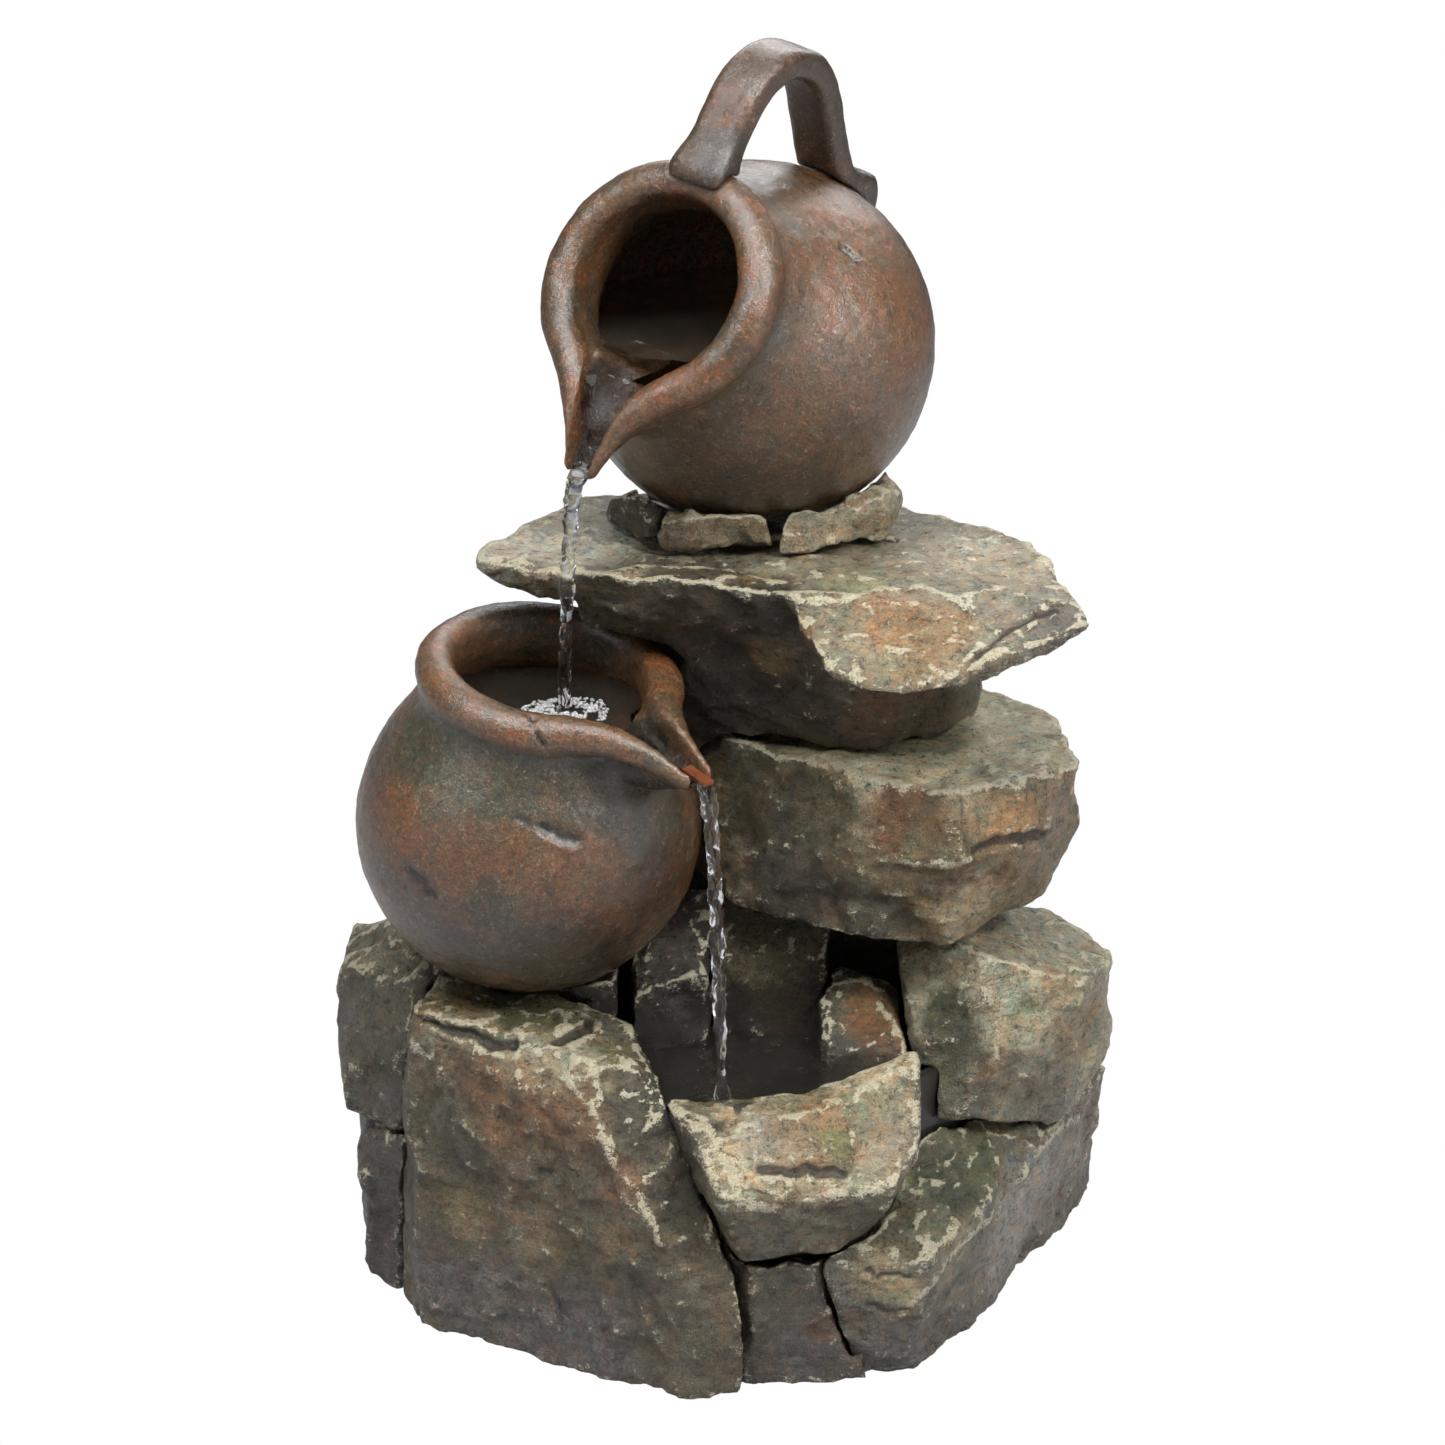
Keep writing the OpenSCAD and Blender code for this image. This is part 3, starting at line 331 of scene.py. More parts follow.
def stone_material():
    """Painted cast stone: point colours worked over by grain, dark lows and brushed highs that are partly
    painted shade and highlight, rust and moss.
    """
    s = Shader("painted_stone", Specular_IOR_Level=0.4, Coat_Weight=0.6, Coat_Roughness=0.2)
    crumb = s.noise(3.6, 8, 0.74, distortion=0.4)
    fine = s.noise(1.25, 6, 0.74, distortion=1.4)
    grit = s.noise(0.7, 3, 0.6)
    layer = s.noise(2.4, 6, 0.72, stretch=(0.3, 0.3, 1.9), distortion=0.7)
    height = s.sum((crumb, 0.34), (fine, 0.36), (layer, 0.18), (grit, 0.12))

    def mask(name, low, high, rough):
        value = s.sum((s.attribute(name), 1), (crumb, rough), (fine, rough))
        return s.ramp(value, low + rough, high + rough)

    wet = s.attribute("wet")
    color = s.times(s.attribute("paint", "Color"), s.grey(s.ramp(height, 0.41, 0.59, 0.42, 1.55)))
    warmth = s.ramp(s.noise(5.5, 5, 0.65, distortion=0.5), 0.36, 0.64)
    color = s.times(color, s.mix(warmth, (0.88, 1.03, 1.02), (1.14, 0.97, 0.80)))
    color = s.over(color, mask("rust", 0.42, 0.70, 1.3), (0.225, 0.098, 0.036), 0.70)
    color = s.over(color, mask("moss", 0.42, 0.70, 1.3), (0.072, 0.088, 0.034), 0.62)
    # near-black laid over recesses, cracks and gaps between pieces: partly dirt, partly painted shade
    color = s.over(color, mask("dirt_and_shade", 0.35, 0.85, 0.9), (0.016, 0.012, 0.009), 0.82)
    color = s.mix(s.ramp(height, 0.415, 0.455, 0.60, 0.0), color, (0.028, 0.022, 0.015))
    color = s.over(color, wet, (0.020, 0.017, 0.013), 0.45)
    # pale dry-brush on raised grain and on the edge mask, less where the dark mask lies: partly paint,
    # partly a painted highlight
    raised = s.sum((height, 1), (s.attribute("edge"), 0.20), (s.attribute("dirt_and_shade"), -0.06))
    cream = s.mix(s.ramp(fine, 0.38, 0.60), (0.44, 0.36, 0.21), (0.70, 0.66, 0.49))
    color = s.over(color, s.ramp(raised, 0.59, 0.64), cream, 0.80)
    rough = s.sum((s.ramp(crumb, 0.35, 0.65, 0.24, 0.42), 1), (wet, -0.28))
    s.link(s.bump(height, 1.0, 1.0), s.bsdf.inputs["Coat Normal"])
    return s.finish(color, rough, s.bump(height, 1.0, 3.2))


# ---- Stones ----------------------------------------------------------------------------------------

GREEN = (0.11, 0.115, 0.055)
# pale lilac for the low front faces: a painted sheen of reflected light
LILAC_SHEEN = (0.155, 0.142, 0.145)
PALE = (0.42, 0.40, 0.33)

FUSED = {"top_slab": ("top_slab", "column_rock", "neck_rock")}
STONES = {
    # node: colour of top faces, colour of side faces, rust, moss, depth of the chips in mm; tops are
    # lighter partly as painted light from above
    "front_left_rock": ((0.23, 0.205, 0.13), (0.135, 0.108, 0.07), 0.4, 0.3, 0.8),
    "upper_left_rock": ((0.2, 0.185, 0.13), (0.105, 0.098, 0.078), 0.15, 0.3, 0.8),
    "lower_left_rock": ((0.19, 0.175, 0.145), (0.088, 0.08, 0.074), 0.05, 0.15, 0.8),
    "spill_lip_rock": ((0.46, 0.39, 0.28), (0.2, 0.175, 0.125), 0.45, 0.3, 0.5),
    "front_low_rock": ((0.16, 0.145, 0.11), (0.115, 0.1, 0.08), 0.25, 0.2, 0.7),
    "front_right_rock": ((0.15, 0.145, 0.085), (0.165, 0.148, 0.128), 0.3, 0.4, 0.9),
    "right_rock": ((0.36, 0.34, 0.27), (0.36, 0.335, 0.26), 0.35, 0.35, 0.7),
    "pool_middle_rock": ((0.15, 0.135, 0.082), (0.04, 0.032, 0.022), 0.25, 0.4, 0.7),
    "pool_right_rock": ((0.12, 0.115, 0.08), (0.075, 0.065, 0.045), 0.25, 0.3, 0.7),
    # pool_left_rock and jug_seat_rock are painted very dark: wet stone, and painted shade in the pool's
    # hollow and under the lower jug
    "pool_left_rock": ((0.06, 0.055, 0.047), (0.032, 0.028, 0.024), 0.05, 0.1, 0.8),
    "jug_seat_rock": ((0.07, 0.062, 0.05), (0.035, 0.031, 0.025), 0.1, 0.1, 0.7),
    "back_left_rock": ((0.19, 0.18, 0.13), (0.105, 0.095, 0.072), 0.25, 0.3, 0.9),
    "back_right_rock": ((0.24, 0.22, 0.16), (0.13, 0.118, 0.09), 0.3, 0.3, 0.9),
    "back_middle_rock": ((0.21, 0.2, 0.15), (0.12, 0.105, 0.08), 0.3, 0.3, 0.9),
    "middle_boulder": ((0.44, 0.41, 0.29), (0.21, 0.165, 0.1), 0.4, 0.35, 0.7),
    "top_slab": ((0.275, 0.25, 0.195), (0.14, 0.118, 0.082), 0.35, 0.25, 0.6),
    "collar_stone_left": ((0.13, 0.11, 0.08), (0.07, 0.058, 0.042), 0.2, 0.05, 1.8),
    "collar_stone_front": ((0.36, 0.29, 0.19), (0.28, 0.22, 0.145), 0.2, 0.05, 1.8),
    "collar_stone_right": ((0.44, 0.37, 0.27), (0.36, 0.3, 0.22), 0.2, 0.05, 1.8),
    "collar_stone_back": ((0.2, 0.17, 0.11), (0.12, 0.1, 0.065), 0.2, 0.05, 1.8),
}
PATCHES = {
    # node: middle in mm, reach in mm, colour, strength
    "front_left_rock": [
        ((-82, -40, 108), 13, (0.3, 0.22, 0.12), 0.7), ((-58, -30, 105), 17, GREEN, 0.8),
        ((-84, -48, 101), 9, PALE, 0.6), ((-60, -56, 101), 10, PALE, 0.7),
        ((-44, -60, 100), 9, PALE, 0.8), ((-34, -38, 101), 9, (0.27, 0.25, 0.2), 0.8),
        ((-66, -62, 84), 19, (0.235, 0.135, 0.068), 0.8), ((-47, -70, 84), 14, (0.19, 0.105, 0.05), 0.7),
        ((-30, -83, 70), 9, (0.24, 0.13, 0.07), 0.8), ((-84, -50, 70), 15, (0.085, 0.088, 0.06), 0.8),
        ((-80, -55, 46), 11, (0.2, 0.155, 0.075), 0.7), ((-60, -66, 56), 17, (0.15, 0.118, 0.082), 0.7),
        ((-57, -69, 36), 12, (0.15, 0.12, 0.07), 0.7), ((-28, -84, 52), 10, (0.25, 0.2, 0.12), 0.7),
        ((-24, -87, 36), 11, (0.09, 0.075, 0.055), 0.8), ((-70, -62, 14), 24, LILAC_SHEEN, 0.85),
        ((-40, -78, 15), 18, LILAC_SHEEN, 0.85), ((-92, -45, 20), 12, LILAC_SHEEN, 0.8),
        # (-22, -70, 86) and (-12, -84, 64) darken the right flank: painted shade on the side turned from
        # the light
        ((-14, -91, 20), 16, (0.105, 0.09, 0.065), 0.8), ((-22, -70, 86), 15, (0.056, 0.05, 0.031), 0.9),
        ((-12, -84, 64), 12, (0.06, 0.053, 0.032), 0.8), ((-4, -90, 42), 9, (0.16, 0.135, 0.085), 0.6)],
    "top_slab": [
        # the first three patches and the dark one at (-4, -18, 190) are painted shade on the wall under
        # the slab's overhang; the pale ones on the top at (-54, 6) and (-30, 20) are partly a painted
        # highlight
        ((2, -14, 200), 34, (0.032, 0.022, 0.012), 0.95),
        ((28, -14, 196), 16, (0.042, 0.028, 0.016), 0.8),
        ((56, -22, 200), 24, (0.105, 0.072, 0.048), 0.95),
        ((48, -24, 194), 11, (0.13, 0.062, 0.035), 0.8), ((14, -20, 214), 8, (0.17, 0.11, 0.035), 0.8),
        ((-4, -18, 190), 9, (0.06, 0.058, 0.042), 0.7), ((-54, 6, 239), 24, (0.5, 0.48, 0.43), 0.85),
        ((-30, 20, 239), 18, (0.42, 0.42, 0.38), 0.7), ((45, -42, 236), 15, (0.33, 0.2, 0.11), 0.85),
        ((60, -52, 231), 16, (0.33, 0.215, 0.115), 0.85), ((34, -44, 235), 9, (0.26, 0.24, 0.19), 0.7),
        ((50, -63, 226), 10, (0.27, 0.22, 0.14), 0.7), ((78, -58, 228), 10, (0.15, 0.125, 0.09), 0.8),
        ((92, -48, 232), 11, (0.17, 0.15, 0.125), 0.85), ((104, -43, 234), 9, (0.13, 0.11, 0.092), 0.85),
        ((-56, -8, 230), 13, (0.19, 0.16, 0.105), 0.85),
        ((-35, -14, 229), 15, (0.11, 0.095, 0.06), 0.85),
        ((-7, -16, 232), 18, (0.075, 0.058, 0.036), 0.9),
        ((12, -22, 232), 12, (0.035, 0.026, 0.016), 0.9), ((22, -44, 230), 7, (0.2, 0.11, 0.03), 0.8),
        ((10, -16, 238), 6, (0.22, 0.16, 0.06), 0.6), ((80, 0, 239), 22, (0.42, 0.35, 0.27), 0.6),
        ((40, -22, 239), 12, (0.34, 0.34, 0.21), 0.7)],
    "middle_boulder": [
        # the pale patches at (50, -26) and (62, -36) on the ledge are partly painted light against the
        # slab's shadow; the dark ones near the neck at (8, -6) and (12, -18) are painted shade under the
        # slab
        ((50, -26, 181), 16, (0.72, 0.68, 0.54), 0.9), ((8, -6, 181), 14, (0.07, 0.068, 0.056), 0.8),
        ((62, -36, 180), 16, (0.72, 0.68, 0.54), 0.9), ((55, -45, 171), 14, (0.19, 0.092, 0.032), 1.0),
        ((65, -47, 172), 10, (0.17, 0.12, 0.062), 0.7), ((88, -42, 170), 13, (0.46, 0.28, 0.145), 0.8),
        ((78, -46, 174), 7, (0.34, 0.28, 0.19), 0.7), ((60, -48, 159), 8, (0.22, 0.235, 0.135), 0.75),
        ((100, -20, 168), 13, (0.25, 0.19, 0.14), 0.8), ((92, -38, 150), 13, (0.3, 0.19, 0.11), 0.8),
        ((62, -46, 148), 17, (0.14, 0.105, 0.052), 0.8),
        ((32, -30, 168), 14, (0.125, 0.108, 0.055), 0.9),
        ((12, -18, 165), 18, (0.08, 0.066, 0.038), 0.9),
        ((20, -26, 145), 20, (0.045, 0.036, 0.022), 0.9), ((75, -41, 138), 15, (0.4, 0.32, 0.22), 0.85),
        ((46, -40, 136), 12, (0.06, 0.058, 0.038), 0.8), ((85, -28, 182), 12, (0.24, 0.22, 0.16), 0.7)],
    "spill_lip_rock": [
        ((15, -84, 84), 12, (0.35, 0.315, 0.285), 0.8), ((30, -80, 86), 13, (0.32, 0.2, 0.1), 0.8),
        ((34, -84, 83), 7, (0.14, 0.18, 0.07), 0.75), ((24, -91, 76), 13, (0.36, 0.29, 0.2), 0.7),
        ((44, -74, 90), 10, (0.3, 0.3, 0.2), 0.7), ((50, -80, 84), 9, (0.36, 0.31, 0.25), 0.7),
        # (-9, -78) and (-2, -84): near-black painted shade in the crevice against front_left_rock
        ((-9, -78, 80), 12, (0.036, 0.029, 0.013), 0.95),
        ((-2, -84, 66), 13, (0.042, 0.032, 0.018), 0.9), ((14, -90, 60), 14, (0.125, 0.115, 0.085), 0.8),
        ((42, -86, 62), 13, (0.085, 0.078, 0.055), 0.8)],
    "right_rock": [
        ((92, -37, 109), 12, (0.58, 0.56, 0.44), 0.8), ((94, -37, 104), 6, (0.09, 0.16, 0.05), 0.7),
        ((104, -32, 112), 9, (0.4, 0.29, 0.18), 0.7), ((92, -38, 95), 12, (0.62, 0.55, 0.42), 0.8),
        ((84, -40, 86), 9, (0.26, 0.155, 0.075), 0.7), ((68, -39, 106), 10, (0.05, 0.062, 0.02), 0.95),
        ((70, -40, 94), 11, (0.056, 0.058, 0.026), 0.9), ((66, -40, 84), 9, (0.1, 0.11, 0.055), 0.8),
        ((95, -36, 78), 13, (0.2, 0.175, 0.14), 0.7), ((112, -20, 92), 14, (0.3, 0.215, 0.12), 0.7),
        ((76, -42, 76), 10, (0.1, 0.092, 0.075), 0.8), ((95, -20, 70), 18, (0.17, 0.155, 0.13), 0.7)],
    "front_right_rock": [
        ((70, -56, 60), 12, (0.048, 0.056, 0.028), 0.9), ((80, -48, 54), 12, (0.075, 0.09, 0.042), 0.8),
        ((88, -40, 46), 10, (0.24, 0.165, 0.085), 0.7), ((95, -26, 50), 12, (0.13, 0.105, 0.06), 0.7),
        ((60, -76, 50), 12, (0.14, 0.14, 0.095), 0.8), ((46, -84, 40), 9, (0.42, 0.35, 0.24), 0.8),
        ((53, -84, 33), 9, (0.5, 0.42, 0.27), 0.8), ((72, -70, 38), 11, (0.28, 0.24, 0.16), 0.7),
        ((45, -82, 22), 13, (0.14, 0.125, 0.105), 0.8), ((58, -76, 10), 14, (0.15, 0.14, 0.15), 0.8),
        # the two pale lilac-grey patches low down are a painted sheen of reflected light
        ((95, -25, 28), 26, (0.38, 0.36, 0.375), 0.85), ((110, 10, 30), 24, (0.3, 0.275, 0.265), 0.85)],
    "pool_right_rock": [
        ((44, -30, 104), 11, (0.3, 0.145, 0.045), 0.95), ((50, -30, 92), 9, (0.2, 0.1, 0.035), 0.8)],
    "pool_middle_rock": [
        ((14, -16, 112), 12, (0.16, 0.145, 0.075), 0.8), ((18, -17, 96), 14, (0.08, 0.065, 0.04), 0.8)],
    "front_low_rock": [
        ((16, -85, 34), 12, (0.15, 0.14, 0.11), 0.7), ((26, -84, 12), 12, (0.12, 0.11, 0.11), 0.8),
        ((30, -82, 20), 6, (0.2, 0.1, 0.06), 0.6)],
    "upper_left_rock": [
        ((-108, -10, 92), 15, (0.13, 0.12, 0.085), 0.6), ((-100, -20, 75), 11, (0.07, 0.08, 0.045), 0.7),
        ((-100, -20, 62), 12, (0.13, 0.12, 0.115), 0.7)],
}
CRACKS = {
    # node: points of a groove in mm, half width, depth
    "front_left_rock": [
        ([(-96, -42.5, 108), (-87, -47.5, 104.5), (-78.5, -50.5, 103), (-69.5, -53, 103),
          (-61, -54.5, 103)], 1.5, 2.2),
        ([(-53, -53.5, 103), (-45, -48, 102), (-41, -42, 102), (-40, -33, 102)], 1.3, 1.6),
        ([(-58, -67, 66), (-54, -70, 65), (-48, -73, 69), (-43, -75, 67)], 0.6, 0.7),
        ([(-54, -71, 30), (-51, -72, 22), (-49, -73, 15)], 0.7, 0.6),
        ([(-34, -61, 99), (-32, -75, 86), (-26, -84, 70), (-14, -88, 52)], 2.6, 1.5)],
    "spill_lip_rock": [
        ([(9, -92, 79), (16.5, -91, 79), (23.5, -90.5, 78), (31, -89.5, 77), (38, -88.5, 76)], 1.4, 1.8)],
    "top_slab": [
        ([(70, -63, 226), (78, -54, 231), (86, -46, 234.5), (94, -41, 236.5), (101, -36, 237)], 0.6, 0.8),
        ([(-72, -2, 232), (-66, -1, 237), (-60, 2, 239)], 0.8, 0.9),
        ([(49, 18, 239.3), (54, 20, 239.3)], 1.4, 2.0)],
    "middle_boulder": [
        ([(75, -48, 160), (82, -45, 164), (92, -40, 163), (101, -24, 158)], 1.4, 1.6),
        ([(72, -46, 180), (72, -47, 168), (75, -48, 160)], 0.6, 0.6)],
    "front_right_rock": [
        ([(42, -84.5, 42), (47, -84, 39), (52, -83.5, 40), (58, -83, 38)], 0.8, 0.9),
        ([(42, -84, 29), (50, -83, 26), (58, -81, 27)], 0.6, 0.7)],
}
RIDGES = {
    # node: points of a worn pale ridge in mm, half width; the pale line is partly a painted highlight
    "front_left_rock": [
        ([(-97, -43, 99), (-82, -51, 100), (-69, -56, 100), (-57, -60, 98.5), (-47, -65, 95),
          (-41, -70, 91), (-36, -78, 82), (-31, -82, 77), (-25, -86, 66), (-20, -89, 58),
          (-19, -89, 52)], 1.3),
        ([(-97, -42, 98), (-88, -46, 92), (-74, -56, 91)], 1.6)],
    "top_slab": [
        ([(-72, 0, 239), (-62, -1, 239), (-54, -7, 239), (-40, -14, 238.5), (-26, -8, 239),
          (-12, -10, 239), (6, -12, 239), (15, -21, 239), (22, -35, 238)], 1.3),
        ([(26, -36, 238), (36, -36, 238), (46, -28, 239), (59, -27, 239), (67, -35, 239),
          (75, -44, 236), (87, -44, 236), (99, -32, 238)], 1.2)],
    "middle_boulder": [
        ([(14, -11, 180.5), (30, -16, 181), (42, -33, 181.5), (56, -42, 180), (71, -46, 180.5),
          (84, -35, 181), (99, -12, 180)], 1.6),
        ([(45, -45, 157), (62, -48, 158), (75, -48, 160)], 1.4)],
    "right_rock": [
        ([(76, -41, 117), (80, -40.5, 113), (83, -40.5, 106), (84.5, -40.5, 98), (84, -41, 91)], 1.2)],
    "front_right_rock": [
        ([(114, 5, 50), (104, -16, 53), (94, -32, 47), (86, -45, 43), (72, -69, 42), (60, -83, 33),
          (57, -82, 28)], 1.4)],
    "spill_lip_rock": [
        ([(-6, -79, 89), (-3, -85, 86), (0, -90, 82), (4, -95, 77), (5, -99, 72), (13, -97, 68),
          (22, -96, 69), (31, -94, 71), (41, -92, 71), (50, -89, 73), (58, -82, 78)], 1.9)],
}
VOXEL = 1.15  # size of the grid that the stones are remeshed on
SOFTENED = (178, 238)           # heights between which the fused column runs smoothly into the slab
POOL = (5, -30)                 # middle of the wet ground round the pool
POOL_REACH, SPLASH_Z = 52, 115
AGED = (0.84, 0.80, 0.72)       # tint over all stone paint


def lay(color, tone, mask):
    """Paint tone over color where mask is 1."""
    return color + (np.asarray(tone) - color) * np.clip(mask, 0, 1)[:, None]


def nearest(p, line):
    """For each point: the distance to a run of straight stretches, the nearest one, how far along it."""
    best, which, part = np.full(len(p), 1e9), np.zeros(len(p), int), np.zeros(len(p))
    for k, (a, b) in enumerate(zip(line[:-1], line[1:])):
        d = b - a
        h = np.clip((p - a) @ d / (d @ d), 0, 1)
        gap = np.linalg.norm(p - a - h[:, None] * d, axis=1)
        near = gap < best
        best[near], which[near], part[near] = gap[near], k, h[near]
    return best, which, part


def draped(p, line):
    """A line with three more points in each stretch, all moved to the nearest points of a surface."""
    line = np.array(line, float)
    fine = [a + (b - a) * t for a, b in zip(line[:-1], line[1:]) for t in (0, 0.25, 0.5, 0.75)]
    return np.array([p[np.argmin(((p - q)**2).sum(1))] for q in [*fine, line[-1]]])


def struck(surface, p, rng, spacing, depth):
    """Flat chips struck off: near each chosen point, what stands above a tilted plane is cut away."""
    smooth = surface.smoothed(p, 6)
    n = surface.normals(smooth)
    spots = int(len(p) * VOXEL**2 / spacing**2) + 4
    for k in rng.choice(len(p), spots, replace=False):
        reach = spacing * rng.uniform(0.6, 1.3)
        d = p - smooth[k]
        r = np.linalg.norm(d, axis=1)
        near = np.flatnonzero(r < reach)
        m = unit(n[k] + 0.28 * rng.normal(size=3))
        above = d[near] @ m + depth * rng.uniform(0.1, 0.8)
        cut = np.clip(above, 0, 1.8 * depth) * step(reach - r[near], 0, 0.35 * reach)
        p[near] -= m * cut[:, None]
    return p


def closeness(surface, own, reach=26, rays=9):
    """How much of the view out from each point other pieces block, from 0 to 1, spread from a sample."""
    rng = np.random.default_rng(5)
    n = surface.normals(surface.smoothed(surface.p, 4))
    value = np.zeros((len(surface.p), 2))
    for k in range(0, len(surface.p), 7):
        start = Vector((surface.p[k] + 1.0 * n[k]) * MM)
        hits = 0.0
        for d in unit(n[k] + 0.9 * unit(rng.normal(size=(rays, 3)))):
            _, _, face, far = all_tree.ray_cast(start, Vector(d), reach * MM)
            if face is not None and owner[face] not in own:
                hits += 1 - 0.7 * far / (reach * MM)
        value[k] = hits / rays, 1
    for _ in range(8):
        value = surface.average(value) + 0.5 * value
    return value[:, 0] / np.maximum(value[:, 1], 1e-6)


def stone(node, material):
    """Dresses one stone: chips, layers, ridges, cracks and paint over its CAD shape."""
    top, side, rust, moss, chip = STONES[node]
    seed = sorted(STONES).index(node) + 3
    rng = np.random.default_rng(seed)
    own = FUSED.get(node, (node,))
    s = remeshed(own, VOXEL)
    s.p = s.smoothed(s.p, 2, 0.5)
    if len(own) > 1:
        soft = step(SOFTENED[1] - s.p[:, 2], 6, 12) * step(s.p[:, 2] - SOFTENED[0], 0, 8)
        s.p = s.p + soft[:, None] * (s.smoothed(s.p, 14) - s.p)
    s.push(0.6 * fbm(s.p, 30, 2, seed) + 0.28 * fbm(s.p, 9, 2, seed + 1))
    s.p = struck(s, s.p, rng, 16, 0.85 * chip)
    s.p = struck(s, s.p, rng, 6, 0.25 * chip)
    n = s.normals()
    layers = value_noise(s.p + 2.0 * fbm(s.p, 16, 2, seed + 2)[:, None], (26, 26, 2.6), seed + 3)
    steep = 1 - np.abs(n[:, 2])
    s.p = s.p + n * (0.16 * layers * steep + 0.22 * fbm(s.p, 3.2, 2, seed + 4))[:, None]
    wobble = 0.9 * fbm(s.p, 5, 2, seed + 12)
    ridge, groove = np.zeros(len(s.p)), np.zeros(len(s.p))
    for line, width in RIDGES.get(node, []):
        d = nearest(s.p, np.array(line, float))[0]
        ridge = np.maximum(ridge, np.exp(-(np.maximum(d - 0.5 + wobble, 0) / width)**2))
    for line, width, depth in CRACKS.get(node, []):
        d, k, h = nearest(s.p, draped(s.p, line))
        t = (k + h) / (4 * len(line) - 4)
        ends = step(t, -0.02, 0.1) * step(1 - t, -0.02, 0.1)
        g = np.exp(-(np.maximum(d - 0.5 + wobble, 0) / width)**2) * ends
        if width < 2:
            groove = np.maximum(groove, g * min(depth, 1.2))
        s.p = s.p - n * (depth * g)[:, None]
    s.p = s.p + n * (0.35 * ridge)[:, None]
    n = s.normals()
    sharp, broad = s.bulge(9, 0.32), s.bulge(40, 1.5)
    p = s.p
    lump, mottle, grain = fbm(p, 26, 3, seed + 5), fbm(p, 8, 3, seed + 6), fbm(p, 2.6, 2, seed + 7)
    # tops lighter than sides: partly paint, partly painted light from above
    up = step(n[:, 2] + 0.15 * mottle, 0.35, 0.80)
    color = np.array(side) + (np.array(top) - side) * up[:, None]
    for middle, reach, tone, strength in PATCHES.get(node, []):
        r = np.linalg.norm(p - middle, axis=1) / reach + 0.35 * mottle + 0.15 * grain
        color = lay(color, tone, strength * step(1.25 - r, 0, 0.7))
    color = color * (1 + 0.24 * lump + 0.28 * mottle + 0.12 * grain)[:, None]
    closed = closeness(s, own)
    hollow = step(-broad - 0.15 * mottle, 0.2, 1.0)
    # dark mask: partly dirt, partly painted shade, from how closed in each point is by other pieces, from
    # hollows and from cracks, less on tops
    dirt_and_shade = np.clip(1.3 * step(closed, 0.35, 0.95) * (1 - 0.75 * up) + 0.6 * hollow + groove, 0, 1.2)
    # pale edge mask: sharp edges and ridges, more on tops, kept off where other pieces close in; partly
    # brushed paint, partly a painted highlight
    edge = step(sharp + 0.2 * mottle, 0.25, 1.1) * (0.45 + 0.55 * up) + 0.12 * up
    edge = np.maximum(edge, 0.75 * ridge) * (1 - 0.7 * step(closed, 0.3, 0.7))
    from_pool = np.hypot(p[:, 0] - POOL[0], p[:, 1] - POOL[1])
    wet = step(SPLASH_Z - p[:, 2], 0, 25) * step(POOL_REACH - from_pool, 0, 14)
    wet = np.maximum(wet, 0.9 * (node == "front_low_rock") * step(mottle + 0.3 * lump, -0.2, 0.3))
    piece = build(node + "_skin", s, material,
                  {"paint": np.clip(color * AGED, 0.006, 0.9), "edge": edge, "dirt_and_shade": dirt_and_shade,
                   "rust": rust * step(fbm(p, 20, 3, seed + 8), -0.1, 0.5),
                   "moss": moss * step(fbm(p, 24, 3, seed + 9), -0.1, 0.5), "wet": wet})
    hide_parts(*own)


slot_of = {s["node"]: s["material_slot"] for s in frame["record"]["subparts"]}
points, faces, owner = joined([name for name, obj in nodes.items() if obj.type == "MESH"])
all_tree = BVHTree.FromPolygons(points, faces)
painted = stone_material()
for name in STONES:
    stone(name, painted)


# ---- Jugs ------------------------------------------------------------------------------------------

def turn(axis, degrees):
    return np.array(Matrix.Rotation(math.radians(degrees), 3, axis))


UPPER = dict(r=56, neck=60, mouth=33, spout=61, place=turn("Z", -122) @ turn("Y", 60) @ turn("Z", -10),
             middle=(9, 41, 294))
LOWER = dict(r=53, neck=50, mouth=34.5, spout=68, place=turn("Z", -46) @ turn("Y", 12),
             middle=(-59.5, -8, 156.5))
WALL, ROLL = 5, 6.5             # wall thickness and radius of the rolled rim
CHANNEL_ROOT, CHANNEL_TIP = (-15, 11.5, 0.5), (5, 2.5, 0.6)   # place along X, radius, height over the rim
CELL = 1.0    # size of the cells that the jugs are meshed on
WEAR_AND_GLINT = 0.3                      # strength of the pale flecks: worn paint, partly a painted highlight


def smin(a, b, k):
    """The lower of two fields, blended over k mm."""
    h = np.clip(0.5 + 0.5 * (b - a) / k, 0, 1)
    return b + (a - b) * h - k * h * (1 - h)


def smax(a, b, k):
    return -smin(-a, -b, k)


def cone(x, y, z, a, b, ra, rb, open_top=False):
    """Distance to a rod from a to b whose radius goes from ra to rb; open_top carries it upwards."""
    a, b = np.array(a, float), np.array(b, float)
    d = b - a
    h = np.clip(((x - a[0]) * d[0] + (y - a[1]) * d[1] + (z - a[2]) * d[2]) / (d @ d), 0, 1)
    dz = z - a[2] - h * d[2]
    if open_top:
        dz = np.minimum(dz, 0)
    return np.sqrt((x - a[0] - h * d[0])**2 + (y - a[1] - h * d[1])**2 + dz**2) - ra - h * (rb - ra)


